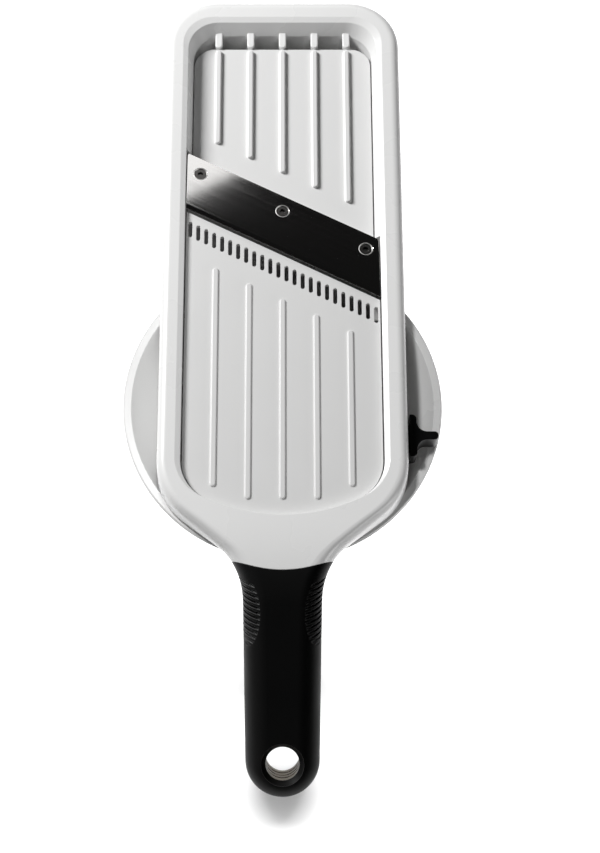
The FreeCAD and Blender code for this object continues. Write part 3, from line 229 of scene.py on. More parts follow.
class StudioSettings(bpy.types.PropertyGroup):
    """Camera, lights, floor and room."""

    camera_place: FloatVectorProperty(
        name="Camera place", description="Where the camera stands", default=(0.0, -0.2485, 0.7705),
        subtype="XYZ_LENGTH", unit="LENGTH",
    )
    camera_tilt: FloatProperty(
        name="Camera tilt", description="Tilt away from straight down", default=math.radians(18.0),
        unit="ROTATION", subtype="ANGLE",
    )
    lens: FloatProperty(name="Lens", description="Focal length in millimetres", default=67.02)
    shift: FloatProperty(name="Shift", description="Sideways shift of the picture", default=0.0205)
    floor_tone: FloatProperty(
        name="Floor tone", description="Paleness of the floor", default=0.85, min=0.0, max=1.0,
        subtype="FACTOR",
    )
    floor_bounce: FloatProperty(
        name="Floor bounce", description="Tone of the floor as the pieces see it", default=0.01,
        min=0.0, max=1.0, subtype="FACTOR",
    )
    room_light: FloatProperty(
        name="Room light", description="Strength of the room's even light", default=0.10, min=0.0,
    )
    room_mirrored: FloatProperty(
        name="Mirrored room", description="Strength of the room in mirror images", default=0.008, min=0.0,
    )
    key: FloatProperty(
        name="Key light", description="Softbox on the far left", default=38.5, unit="POWER",
    )
    frame_key: FloatProperty(
        name="Frame key", description="Higher softbox on the far left for the frame alone", default=27.0,
        unit="POWER",
    )
    table_key: FloatProperty(
        name="Table key", description="Higher softbox on the far left for the table alone", default=16.0,
        unit="POWER",
    )
    top: FloatProperty(
        name="Top light", description="Softbox beyond the far end, mirrored by the blade", default=2.3,
        unit="POWER",
    )
    side: FloatProperty(
        name="Side light", description="Low light from the right, near the grip", default=4.0, unit="POWER",
    )
    holder_light: FloatProperty(
        name="Holder light", description="Small light on the food holder alone", default=4.6, unit="POWER",
    )
    rim_light: FloatProperty(
        name="Rim light", description="Narrow beam on the left of the food holder", default=7.4,
        unit="POWER",
    )
    guard_fill: FloatProperty(
        name="Guard fill", description="Low light on the food holder, seen when the slicer is lifted off",
        default=5.4, unit="POWER",
    )
    floor_light: FloatProperty(
        name="Floor light", description="Small light over the far stretch of the floor", default=60.0,
        unit="POWER",
    )
    shadow_light: FloatProperty(
        name="Shadow light", description="Wide light that casts the grip's shadow on the floor",
        default=60.0, unit="POWER",
    )
    hole_light: FloatProperty(
        name="Hole light", description="Narrow beam on the floor under the hanging hole", default=40.0,
        unit="POWER",
    )
    floor_fill: FloatProperty(
        name="Floor fill", description="Wide light over the near stretch of the floor", default=29.0,
        unit="POWER",
    )


class SlicerSettings(bpy.types.PropertyGroup):
    """All settings of the slicer."""

    finish: PointerProperty(type=FinishSettings)
    screws: PointerProperty(type=ScrewSettings)
    scale: PointerProperty(type=ScaleSettings)
    studio: PointerProperty(type=StudioSettings)


# Node helpers

PATTERN_RANGE = (0.2, 0.8)          # values that a noise pattern mostly has
EDGE_RANGE = (1.0, 0.75)            # how far a rounded normal agrees with the plain one, from face to edge
TURNED_LINES = (900.0, 900.0, 3000.0)   # stretch of the lines that a lathe leaves


def add_node(tree, kind, **values):
    """New node with its properties and input values set."""
    made = tree.nodes.new(kind)
    for name, value in values.items():
        if name in made.inputs:
            made.inputs[name].default_value = value
        else:
            setattr(made, name, value)
    return made


def join(tree, source, target):
    """Link from an output to an input."""
    tree.links.new(source, target)


def grey(tone):
    """Opaque grey of a tone."""
    return (tone, tone, tone, 1.0)


def object_coords(tree):
    """Coordinates that stay with the piece."""
    return add_node(tree, "ShaderNodeTexCoord").outputs["Object"]


def noise(tree, vector, scale, detail):
    """Value of a noise pattern."""
    made = add_node(tree, "ShaderNodeTexNoise", Scale=scale, Detail=detail)
    join(tree, vector, made.inputs["Vector"])
    return made.outputs["Fac"]


def ranged(tree, value, start, end, kind="LINEAR"):
    """Value taken from one pair of limits to another."""
    made = add_node(tree, "ShaderNodeMapRange", interpolation_type=kind)
    for label, limit in zip(("From Min", "From Max", "To Min", "To Max"), (*start, *end)):
        made.inputs[label].default_value = limit
    join(tree, value, made.inputs["Value"])
    return made.outputs["Result"]


def spread(tree, value, low, high):
    """Value of a pattern spread softly between two limits."""
    return ranged(tree, value, PATTERN_RANGE, (low, high), kind="SMOOTHSTEP")


def blended(tree, mask, first, second):
    """Colour that a mask takes from one to another."""
    made = add_node(tree, "ShaderNodeMix", data_type="RGBA")
    colours = [s for s in made.inputs if s.type == "RGBA"]
    colours[0].default_value = (*first, 1.0)
    colours[1].default_value = (*second, 1.0)
    join(tree, mask, made.inputs[0])
    return [s for s in made.outputs if s.type == "RGBA"][0]


def tinted(tree, mask, colour, lighter):
    """Colour that a mask takes from the plain colour to a lighter one."""
    return blended(tree, mask, colour, [min(1.0, c * lighter) for c in colour])


def mixed_shader(tree, mask, first, second):
    """Shader that a mask takes from one to another."""
    made = add_node(tree, "ShaderNodeMixShader")
    join(tree, mask, made.inputs["Fac"])
    join(tree, first, made.inputs[1])
    join(tree, second, made.inputs[2])
    return made.outputs["Shader"]


def new_group(name, inputs, outputs):
    """Empty shader node group with named sockets."""
    group = bpy.data.node_groups.new(name, "ShaderNodeTree")
    for label, kind, value in inputs:
        socket = group.interface.new_socket(name=label, in_out="INPUT", socket_type=kind)
        socket.default_value = value
    for label, kind in outputs:
        group.interface.new_socket(name=label, in_out="OUTPUT", socket_type=kind)
    return group, group.nodes.new("NodeGroupInput"), group.nodes.new("NodeGroupOutput")


def moulded_surface():
    """Clouding and fine skin of a moulded surface."""
    name = "Moulded surface"
    if name in bpy.data.node_groups:
        return bpy.data.node_groups[name]
    group, given, result = new_group(
        name,
        [("Cloud Scale", "NodeSocketFloat", 30.0), ("Skin Scale", "NodeSocketFloat", 1500.0)],
        [("Cloud", "NodeSocketFloat"), ("Skin", "NodeSocketFloat")],
    )
    coords = object_coords(group)
    cloud = add_node(group, "ShaderNodeTexNoise", Detail=3.0)
    skin = add_node(group, "ShaderNodeTexNoise", Detail=2.0)
    for pattern, label in ((cloud, "Cloud"), (skin, "Skin")):
        join(group, coords, pattern.inputs["Vector"])
        join(group, given.outputs[label + " Scale"], pattern.inputs["Scale"])
        join(group, pattern.outputs["Fac"], result.inputs[label])
    return group


def brushed_lines():
    """Fine lines left by brushing or turning, laid along one direction."""
    name = "Brushed lines"
    if name in bpy.data.node_groups:
        return bpy.data.node_groups[name]
    group, given, result = new_group(
        name,
        [
            ("Turn", "NodeSocketVector", (0.0, 0.0, 0.0)),
            ("Stretch", "NodeSocketVector", (30.0, 2500.0, 2500.0)),
        ],
        [("Lines", "NodeSocketFloat"), ("Streaks", "NodeSocketFloat")],
    )
    turned = add_node(group, "ShaderNodeMapping", vector_type="TEXTURE")
    join(group, object_coords(group), turned.inputs["Vector"])
    join(group, given.outputs["Turn"], turned.inputs["Rotation"])
    stretched = add_node(group, "ShaderNodeVectorMath", operation="MULTIPLY")
    join(group, turned.outputs["Vector"], stretched.inputs[0])
    join(group, given.outputs["Stretch"], stretched.inputs[1])
    fine = noise(group, stretched.outputs["Vector"], scale=1.0, detail=3.0)
    broad = noise(group, stretched.outputs["Vector"], scale=0.18, detail=2.0)
    join(group, fine, result.inputs["Lines"])
    join(group, broad, result.inputs["Streaks"])
    return group


def eased_edges():
    """Normal that rounds the edges a little, and a mask of where they are."""
    name = "Eased edges"
    if name in bpy.data.node_groups:
        return bpy.data.node_groups[name]
    group, given, result = new_group(
        name,
        [("Width", "NodeSocketFloat", 0.4 * MM)],
        [("Normal", "NodeSocketVector"), ("Edge", "NodeSocketFloat")],
    )
    rounded = add_node(group, "ShaderNodeBevel", samples=6)
    join(group, given.outputs["Width"], rounded.inputs["Radius"])
    plain = add_node(group, "ShaderNodeNewGeometry")
    facing = add_node(group, "ShaderNodeVectorMath", operation="DOT_PRODUCT")
    join(group, rounded.outputs["Normal"], facing.inputs[0])
    join(group, plain.outputs["Normal"], facing.inputs[1])
    edge = ranged(group, facing.outputs["Value"], EDGE_RANGE, (0.0, 1.0))
    join(group, rounded.outputs["Normal"], result.inputs["Normal"])
    join(group, edge, result.inputs["Edge"])
    return group


def place_group(tree, group, **values):
    """Outputs of a node group placed with its own values."""
    made = tree.nodes.new("ShaderNodeGroup")
    made.node_tree = group
    for name, value in values.items():
        made.inputs[name.replace("_", " ")].default_value = value
    return made.outputs


# Finishes


def new_finish(name):
    """Empty material with its shader."""
    material = bpy.data.materials.new(name)
    material.use_nodes = True
    return material, material.node_tree, material.node_tree.nodes["Principled BSDF"]


def bumped(tree, shader, height, normal, strength, distance):
    """Height pattern laid over a normal, into the shader."""
    made = add_node(tree, "ShaderNodeBump", Strength=strength, Distance=distance)
    join(tree, height, made.inputs["Height"])
    join(tree, normal, made.inputs["Normal"])
    join(tree, made.outputs["Normal"], shader.inputs["Normal"])


def plastic_finish(name, colour, gloss, edge_w, skin_scale, skin, shine=0.5):
    """Moulded plastic: clouded tone and sheen, fine skin, eased edges.

    gloss holds the lowest and highest roughness, and skin is the depth of the fine skin.
    """
    material, tree, shader = new_finish(name)
    surface = place_group(tree, moulded_surface(), Cloud_Scale=35.0, Skin_Scale=skin_scale)
    edges = place_group(tree, eased_edges(), Width=edge_w)
    join(tree, tinted(tree, surface["Cloud"], colour, lighter=1.02), shader.inputs["Base Color"])
    join(tree, spread(tree, surface["Cloud"], *gloss), shader.inputs["Roughness"])
    shader.inputs["Specular IOR Level"].default_value = shine
    bumped(tree, shader, surface["Skin"], edges["Normal"], strength=skin, distance=0.05 * MM)
    return material


def soft_finish(name, colour):
    """Soft black plastic: dull sheen, fine grain, and a painted highlight that makes the edges paler."""
    material, tree, shader = new_finish(name)
    surface = place_group(tree, moulded_surface(), Cloud_Scale=60.0, Skin_Scale=3200.0)
    edges = place_group(tree, eased_edges(), Width=0.35 * MM)
    # painted highlight: the edge mask makes edges and fins much paler, standing in for light caught on them
    join(tree, tinted(tree, edges["Edge"], colour, lighter=24.0), shader.inputs["Base Color"])
    join(tree, spread(tree, surface["Cloud"], low=0.40, high=0.50), shader.inputs["Roughness"])
    shader.inputs["Specular IOR Level"].default_value = 0.08
    bumped(tree, shader, surface["Skin"], edges["Normal"], strength=0.35, distance=0.06 * MM)
    return material


def metal_finish(name, colour, gloss, stretch, edge_w, depth, turn=(0.0, 0.0, 0.0), graze=1.0):
    """Worked metal: lines along one direction, streaked tone and sheen, eased edges.

    gloss holds the lowest and highest roughness, and graze is the tint of what is seen at a low angle.
    """
    material, tree, shader = new_finish(name)
    lines = place_group(tree, brushed_lines(), Turn=turn, Stretch=stretch)
    edges = place_group(tree, eased_edges(), Width=edge_w)
    join(tree, tinted(tree, lines["Streaks"], colour, lighter=1.06), shader.inputs["Base Color"])
    join(tree, spread(tree, lines["Lines"], *gloss), shader.inputs["Roughness"])
    shader.inputs["Metallic"].default_value = 1.0
    shader.inputs["Specular Tint"].default_value = grey(graze)
    bumped(tree, shader, lines["Lines"], edges["Normal"], strength=depth, distance=0.02 * MM)
    return material


def screw_finish(name, dark, bright):
    """Dark steel of a screw's head, with a painted highlight: the turned rim that the mesh marks is coloured
    bright.
    """
    material, tree, shader = new_finish(name)
    rim = add_node(tree, "ShaderNodeAttribute", attribute_name="rim").outputs["Fac"]
    lines = place_group(tree, brushed_lines(), Stretch=TURNED_LINES)
    edges = place_group(tree, eased_edges(), Width=0.08 * MM)
    # painted highlight: the marked rim takes the bright colour, the rest the dark steel
    join(tree, blended(tree, rim, dark, bright), shader.inputs["Base Color"])
    join(tree, ranged(tree, rim, start=(0.0, 1.0), end=(0.26, 0.5)), shader.inputs["Roughness"])
    shader.inputs["Metallic"].default_value = 1.0
    bumped(tree, shader, lines["Lines"], edges["Normal"], strength=0.2, distance=0.02 * MM)
    return material


def give(material, *names):
    """Puts a material on the named CAD nodes."""
    for name in names:
        NODES[name].data.materials.clear()
        NODES[name].data.materials.append(material)


class SLICER_OT_white_mouldings(bpy.types.Operator):
    """White plastic of the frame, the deck, the table and the food holder"""

    bl_idname = "slicer.white_mouldings"
    bl_label = "White mouldings"

    def execute(self, context):
        finish = context.scene.slicer.finish
        white = plastic_finish(
            "white_moulding", finish.white, gloss=(0.24, 0.32), edge_w=0.5 * MM, skin_scale=900.0, skin=0.10,
        )
        table = plastic_finish(
            "table_moulding", finish.white, gloss=(0.30, 0.38), edge_w=0.35 * MM, skin_scale=1400.0,
            skin=0.16,
        )
        holder = plastic_finish(
            "holder_moulding", finish.holder_white, gloss=(0.26, 0.34), edge_w=0.5 * MM, skin_scale=900.0,
            skin=0.10,
        )
        give(white, "frame", "left_rail_cover", "right_rail_cover")
        give(table, "feed_table", "blade_deck")
        give(holder, "holder_guard", "prong_plate", "knob_core")
        return {"FINISHED"}


class SLICER_OT_soft_pieces(bpy.types.Operator):
    """Soft black plastic of the grip, the knob's cap and the far foot"""

    bl_idname = "slicer.soft_pieces"
    bl_label = "Soft black pieces"

    def execute(self, context):
        finish = context.scene.slicer.finish
        give(soft_finish("soft_black", finish.soft_black), "grip", "knob_cap", "far_foot")
        return {"FINISHED"}


class SLICER_OT_slider_pieces(bpy.types.Operator):
    """Plastic of the thumb tab, the sliding bars and their link"""

    bl_idname = "slicer.slider_pieces"
    bl_label = "Slider pieces"

    def execute(self, context):
        finish = context.scene.slicer.finish
        tab = plastic_finish(
            "tab_black", finish.tab_black, gloss=(0.36, 0.46), edge_w=0.4 * MM, skin_scale=2200.0, skin=0.2,
            shine=0.1,
        )
        bars = plastic_finish(
            "bar_plastic", finish.bar_grey, gloss=(0.34, 0.46), edge_w=0.3 * MM, skin_scale=1800.0, skin=0.2,
        )
        give(tab, "slider_tab")
        give(bars, "left_cam_bar", "right_cam_bar", "cam_link")
        return {"FINISHED"}


class SLICER_OT_blade(bpy.types.Operator):
    """Steel of the blade, brushed along its length"""

    bl_idname = "slicer.blade"
    bl_label = "Blade"

    def execute(self, context):
        finish = context.scene.slicer.finish
        steel = metal_finish(
            "blade_steel", finish.blade, gloss=(0.04, 0.10), turn=(0.0, 0.0, -BLADE_TURN),
            stretch=(9.0, 2600.0, 2600.0), edge_w=0.12 * MM, depth=0.12,
        )
        give(steel, "blade")
        return {"FINISHED"}


class SLICER_OT_small_metal(bpy.types.Operator):
    """Metal of the hidden screws, pins, prongs, spring, inserts and the hanging hole's sleeve"""

    bl_idname = "slicer.small_metal"
    bl_label = "Small metal pieces"

    def execute(self, context):
        finish = context.scene.slicer.finish
        screw = metal_finish(
            "screw_steel", finish.screw, gloss=(0.13, 0.20), stretch=TURNED_LINES, edge_w=0.1 * MM,
            depth=0.25,
        )
        sleeve = metal_finish(
            "sleeve_steel", finish.sleeve, gloss=(0.20, 0.32), turn=(math.radians(22.0), 0.0, 0.0),
            stretch=(200.0, 200.0, 6000.0), edge_w=0.12 * MM, depth=0.5, graze=0.45,
        )
        brass = metal_finish(
            "insert_brass", finish.brass, gloss=(0.24, 0.36), stretch=TURNED_LINES, edge_w=0.1 * MM,
            depth=0.25,
        )
        give(screw, "deck_screws", "blade_screws", "cover_screws", "lift_pins", "link_screws")
        give(screw, "detent_spring", "prongs", "prong_screws", "knob_screw")
        give(sleeve, "hang_sleeve")
        give(brass, "blade_inserts")
        return {"FINISHED"}


# Mesh helpers


def new_piece(name, shape, material, body, smooth_below=math.radians(40)):
    """Object of a finished bmesh, riding on a body."""
    mesh = bpy.data.meshes.new(name)
    shape.normal_update()
    shape.to_mesh(mesh)
    shape.free()
    for face in mesh.polygons:
        face.use_smooth = True
    mesh.set_sharp_from_angle(angle=smooth_below)
    mesh.materials.append(material)
    piece = bpy.data.objects.new(name, mesh)
    bpy.context.scene.collection.objects.link(piece)
    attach(piece, body)
    return piece


def add_shape(whole, part):
    """Moves one bmesh into another."""
    mesh = bpy.data.meshes.new("part")
    part.to_mesh(mesh)
    part.free()
    whole.from_mesh(mesh)
    bpy.data.meshes.remove(mesh)


def open_edges(shape):
    """Edges with a face on one side only."""
    return [e for e in shape.edges if e.is_boundary]


def drawn_out(shape, edges, scale, fall):
    """Runs a ring of edges on: scaled about the axis, then lowered."""
    made = bmesh.ops.extrude_edge_only(shape, edges=edges)["geom"]
    verts = [v for v in made if isinstance(v, bmesh.types.BMVert)]
    bmesh.ops.scale(shape, vec=(scale, scale, 1.0), verts=verts)
    bmesh.ops.translate(shape, vec=(0.0, 0.0, -fall), verts=verts)
    return [e for e in made if isinstance(e, bmesh.types.BMEdge)]


# Blade screws

SOCKET_SIDES = 6
SIDE_CUTS = 5                       # cuts in each side of the socket
BLADE_PROBE = Vector((5.0 * MM, 0.0, 1.0))   # from a screw to a point above the bare blade beside it


def blade_screw_places():
    """Middle of each screw's head on the blade's top, and the way up from it."""
    lean = math.sin(BLADE_TILT)
    up = Vector((math.sin(BLADE_TURN) * lean, math.cos(BLADE_TURN) * lean, math.cos(BLADE_TILT)))
    low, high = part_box("blade_screws")
    head_r = bpy.context.scene.slicer.screws.head_r
    reach = (high.x - low.x) / 2 - head_r
    back = BLADE_W - BLADE_SCREW_BACK
    places = []
    for side in (-1, 0, 1):
        start = Vector((side * reach, 0.0, 0.0))
        start.y = BLADE_EDGE_Y - start.x * math.tan(BLADE_TURN) + back / math.cos(BLADE_TURN)
        hit, point, *_ = NODES["blade"].ray_cast(start + BLADE_PROBE, Vector((0.0, 0.0, -1.0)))
        if not hit:
            raise RuntimeError("no blade beside a blade screw")
        height = up.dot(point - start) / up.z
        places.append((Vector((start.x, start.y, height)), up))
    return places


def socket_screw(sizes):
    """Countersunk screw on the Z axis: turned rim, sunk face, six-sided socket, shank."""
    inner_r = sizes.head_r - 2 * sizes.rim_w
    rim_r = sizes.head_r - sizes.rim_w
    rim_fall = sizes.rim_w * sizes.rim_slope
    floor_depth = sizes.dish_depth + sizes.socket_depth
    shape = bmesh.new()
    bmesh.ops.create_circle(shape, cap_ends=True, segments=SOCKET_SIDES, radius=sizes.socket_r)
    bmesh.ops.subdivide_edges(shape, edges=open_edges(shape), cuts=SIDE_CUTS)
    bmesh.ops.translate(shape, vec=(0.0, 0.0, -floor_depth), verts=shape.verts)
    mouth = drawn_out(shape, open_edges(shape), 1.0, -sizes.socket_depth)
    segments = SOCKET_SIDES * (SIDE_CUTS + 1)
    ring = bmesh.ops.create_circle(shape, segments=segments, radius=inner_r)["verts"]
    bmesh.ops.translate(shape, vec=(0.0, 0.0, -sizes.dish_depth), verts=ring)
    outer = list({e for v in ring for e in v.link_edges})
    bmesh.ops.bridge_loops(shape, edges=mouth + outer)
    edges = drawn_out(shape, outer, rim_r / inner_r, -sizes.dish_depth)
    edges = drawn_out(shape, edges, sizes.head_r / rim_r, rim_fall)
    edges = drawn_out(shape, edges, sizes.shank_r / sizes.head_r, sizes.head_t - rim_fall)
    edges = drawn_out(shape, edges, 1.0, sizes.shank_l - sizes.head_t)
    bmesh.ops.holes_fill(shape, edges=edges, sides=0)
    bmesh.ops.remove_doubles(shape, verts=shape.verts, dist=MERGE_DIST)
    bmesh.ops.recalc_face_normals(shape, faces=shape.faces)
    return shape


def mark_rim(piece, sizes, places):
    """Marks the points of the screws' rims, where the finish paints a highlight."""
    marks = piece.data.attributes.new("rim", "FLOAT", "POINT")
    inside_rim = sizes.head_r - 1.5 * sizes.rim_w
    for vert, mark in zip(piece.data.vertices, marks.data):
        centre, up = min(places, key=lambda place: (vert.co - place[0]).length)
        from_centre = vert.co - centre
        height = from_centre.dot(up)
        radius = (from_centre - up * height).length
        on_rim = radius > inside_rim and height > -sizes.rim_w
        mark.value = 1.0 if on_rim else 0.0


class SLICER_OT_blade_screws(bpy.types.Operator):
    """Three countersunk screws with six-sided sockets, in place of the plain ones"""

    bl_idname = "slicer.blade_screws"
    bl_label = "Blade screws"

    def execute(self, context):
        sizes = context.scene.slicer.screws
        finish = context.scene.slicer.finish
        steel = screw_finish("blade_screw_steel", finish.screw_dark, finish.screw_rim_highlight)
        places = blade_screw_places()
        shape = bmesh.new()
        for centre, up in places:
            screw = socket_screw(sizes)
            turn = Vector((0.0, 0.0, 1.0)).rotation_difference(up).to_matrix().to_4x4()
            screw.transform(Matrix.Translation(centre) @ turn)
            add_shape(shape, screw)
        piece = new_piece("blade_socket_screws", shape, steel, "slicer")
        mark_rim(piece, sizes, places)
        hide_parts("blade_screws")
        return {"FINISHED"}


# Thickness scale

FONT_SIZE = 1.38                    # font size of figures one unit high
MARK_ROUNDING = 0.3                 # corner radius of a mark as a share of its width
WALL_PROBE_X = 0.2                  # clear of the slicer on the right


def scale_mark(sizes):
    """One upright mark, flat in X and Y."""
    shape = bmesh.new()
    bmesh.ops.create_cube(shape, size=1.0)
    bmesh.ops.scale(shape, vec=(sizes.mark_w, sizes.figure_h, 2 * sizes.proud), verts=shape.verts)
    corners = [e for e in shape.edges if abs(e.verts[0].co.z - e.verts[1].co.z) > sizes.proud]
    bmesh.ops.bevel(
        shape, geom=corners, offset=sizes.mark_w * MARK_ROUNDING, affect="EDGES", segments=2, profile=0.5,
        material=-1,
    )
    return shape


def scale_words(words, sizes):
    """Figures as a thin solid, flat in X and Y, with their middle at the origin."""
    text = bpy.data.curves.new("figure", "FONT")
    text.body = words
    text.size = sizes.figure_h * FONT_SIZE
    text.align_x = "CENTER"
    text.extrude = sizes.proud
    holder = bpy.data.objects.new("figure", text)
    mesh = bpy.data.meshes.new_from_object(holder)
    shape = bmesh.new()
    shape.from_mesh(mesh)
    bpy.data.objects.remove(holder)
    bpy.data.curves.remove(text)
    bpy.data.meshes.remove(mesh)
    bmesh.ops.remove_doubles(shape, verts=shape.verts, dist=MERGE_DIST)
    bmesh.ops.translate(shape, vec=(0.0, -sizes.figure_h / 2, 0.0), verts=shape.verts)
    return shape


def on_right_wall(shape, y, sizes):
    """Lays a flat shape on the leaning right wall, to be read from the right."""
    probe = Vector((WALL_PROBE_X, y, sizes.middle_z))
    hit, point, normal, _ = NODES["frame"].ray_cast(probe, Vector((-1.0, 0.0, 0.0)))
    if not hit:
        raise RuntimeError("no wall under the thickness scale")
    across = Vector((0.0, 1.0, 0.0))
    upward = normal.cross(across).normalized()
    turn = Matrix((across, upward, normal)).transposed().to_4x4()
    shape.transform(Matrix.Translation(point) @ turn)
    return shape


class SLICER_OT_thickness_scale(bpy.types.Operator):
    """Marks and figures of the thickness scale on the right wall"""

    bl_idname = "slicer.thickness_scale"
    bl_label = "Thickness scale"

    def execute(self, context):
        sizes = context.scene.slicer.scale
        finish = context.scene.slicer.finish
        ink = plastic_finish(
            "scale_print", finish.print_grey, gloss=(0.4, 0.5), edge_w=0.02 * MM, skin_scale=2500.0, skin=0.1,
        )
        shape = bmesh.new()
        for setting in range(sizes.settings):
            mark_y = sizes.first_y + setting * sizes.step
            add_shape(shape, on_right_wall(scale_mark(sizes), mark_y, sizes))
            figure = scale_words(str(setting + 1), sizes)
            add_shape(shape, on_right_wall(figure, mark_y + sizes.figure_shift, sizes))
        add_shape(shape, on_right_wall(scale_words("mm", sizes), sizes.unit_y, sizes))
        new_piece("thickness_scale", shape, ink, "slicer")
        return {"FINISHED"}


# Studio

FLOOR_HALF = 0.65                   # half the floor's length and width
FLOOR_SEAM_Y = -0.095               # where its two stretches meet, under the grip
FLOOR_DROP = 0.1 * MM               # floor below the slicer's lowest point
HOLE_Y = -0.156                     # floor that is seen through the hanging hole
SLICER_MIDDLE = (0.0, 0.03, 0.04)
KEY_SIZE = (0.24, 0.5)
SENSOR_W = 36.0
CLIP_START = 0.01
FIRST_BOUNCE = 0.5                  # fewer diffuse bounces than this are none


def floor_finish(sizes):
    """Floor that is pale to the eye and in mirror images, and throws little light back on the pieces."""
    material, tree, shader = new_finish("pale_floor")
    tree.nodes.remove(shader)
    seen = add_node(tree, "ShaderNodeBsdfDiffuse", Color=grey(sizes.floor_tone))
    bounce = add_node(tree, "ShaderNodeBsdfDiffuse", Color=grey(sizes.floor_bounce))
    path = add_node(tree, "ShaderNodeLightPath")
    pale = add_node(tree, "ShaderNodeMath", operation="LESS_THAN")
    pale.inputs[1].default_value = FIRST_BOUNCE
    join(tree, path.outputs["Diffuse Depth"], pale.inputs[0])
    mixed = mixed_shader(tree, pale.outputs["Value"], bounce.outputs["BSDF"], seen.outputs["BSDF"])
    join(tree, mixed, tree.nodes["Material Output"].inputs["Surface"])
    return material


def make_card(name, across, along, height, paint):
    """Level card of the stage between limits across and along the slicer."""
    shape = bmesh.new()
    bmesh.ops.create_grid(shape, x_segments=1, y_segments=1, size=0.5)
    bmesh.ops.scale(shape, vec=(across[1] - across[0], along[1] - along[0], 1.0), verts=shape.verts)
    middle = Vector((sum(across) / 2, sum(along) / 2, height))
    bmesh.ops.translate(shape, vec=middle, verts=shape.verts)
    mesh = bpy.data.meshes.new(name)
    shape.to_mesh(mesh)
    shape.free()
    mesh.materials.append(paint)
    card = bpy.data.objects.new(name, mesh)
    bpy.context.scene.collection.objects.link(card)
    return card


def make_shade(name, across, along, height, paint):
    """Unseen card that only keeps a light off what lies under it."""
    card = make_card(name, across, along, height, paint)
    card.visible_camera = False
    card.visible_diffuse = False
    card.visible_glossy = False
    return card


def nodes(*names):
    """CAD nodes of the given names."""
    return [NODES[name] for name in names]


def soft_light(name, place, target, size, power, turn=0.0):
    """Rectangular light aimed at a point and turned about its aim."""
    light = bpy.data.lights.new(name, "AREA")
    light.shape = "RECTANGLE"
    light.size, light.size_y = size
    holder = aimed(light, place, target, power)
    holder.rotation_euler.rotate_axis("Z", turn)
    return holder


def narrow_light(name, place, target, cone, power):
    """Narrow beam with a soft edge, aimed at a point."""
    light = bpy.data.lights.new(name, "SPOT")
    light.spot_size = cone
    light.spot_blend = 0.6
    light.shadow_soft_size = 0.02
    return aimed(light, place, target, power)


def aimed(light, place, target, power):
    """Object of a light that stands at a place and faces a target."""
    light.energy = power
    holder = bpy.data.objects.new(light.name, light)
    holder.location = place
    aim = Vector(target) - Vector(place)
    holder.rotation_euler = aim.to_track_quat("-Z", "Y").to_euler()
    bpy.context.scene.collection.objects.link(holder)
    return holder


def light_group(name, members, state):
    """Collection of objects for a light to keep to, or to leave out."""
    group = bpy.data.collections.new(name)
    for member in members:
        group.objects.link(member)
    for entry in group.collection_objects:
        entry.light_linking.link_state = state
    return group


def lit(light, members, state="INCLUDE"):
    """Keeps a light on some objects, or off them."""
    light.light_linking.receiver_collection = light_group(light.name + "_lit", members, state)


def shaded(light, members, state="INCLUDE"):
    """Lets only some objects cast a shadow in a light, or all but some."""
    light.light_linking.blocker_collection = light_group(light.name + "_shade", members, state)


def light_slicer(sizes, floors, holder, shade):
    """Lights of the slicer: three on the far left, one beyond the far end, one low on the right."""
    body = nodes("frame")
    table = nodes("feed_table")
    key = soft_light(
        "key_light", place=(-1.15, 0.75, 0.75), target=SLICER_MIDDLE, size=KEY_SIZE, power=sizes.key,
    )
    frame_key = soft_light(
        "frame_key", place=(-1.0, 0.66, 1.04), target=SLICER_MIDDLE, size=KEY_SIZE, power=sizes.frame_key,
    )
    table_key = soft_light(
        "table_key", place=(-0.85, 0.5, 0.9), target=SLICER_MIDDLE, size=KEY_SIZE, power=sizes.table_key,
    )
    top = soft_light(
        "top_light", place=(-0.143, 0.9635, 0.75), target=(-0.143, 0.9635, 0.0), size=(0.9, 0.6),
        power=sizes.top, turn=math.radians(36.5),
    )
    side = soft_light(
        "side_light", place=(0.95, -0.60, 0.16), target=SLICER_MIDDLE, size=(0.5, 0.3), power=sizes.side,
    )
    lit(key, floors + holder + table + body, "EXCLUDE")
    lit(frame_key, body)
    lit(table_key, table)
    lit(top, floors + holder + nodes("blade_deck"), "EXCLUDE")
    lit(side, floors + nodes("grip"), "EXCLUDE")
    for light in (key, frame_key, table_key, top, side):
        shaded(light, [shade], "EXCLUDE")


def light_holder(sizes, holder, shade):
    """Lights that fall on the food holder alone."""
    holder_light = soft_light(
        "holder_light", place=(-0.235, 0.10, 0.94), target=(0.0, 0.0, 0.03), size=(0.1, 0.1),
        power=sizes.holder_light,
    )
    rim_light = narrow_light(
        "rim_light", place=(0.02, 0.0, 0.9), target=(-0.09, 0.0, 0.03), cone=math.radians(10.0),
        power=sizes.rim_light,
    )
    guard_fill = soft_light(
        "guard_fill", place=(-1.15, 0.20, 0.35), target=SLICER_MIDDLE, size=(0.4, 0.3),
        power=sizes.guard_fill,
    )
    for light in (holder_light, rim_light, guard_fill):
        lit(light, holder)
    for light in (rim_light, guard_fill):
        shaded(light, [shade], "EXCLUDE")


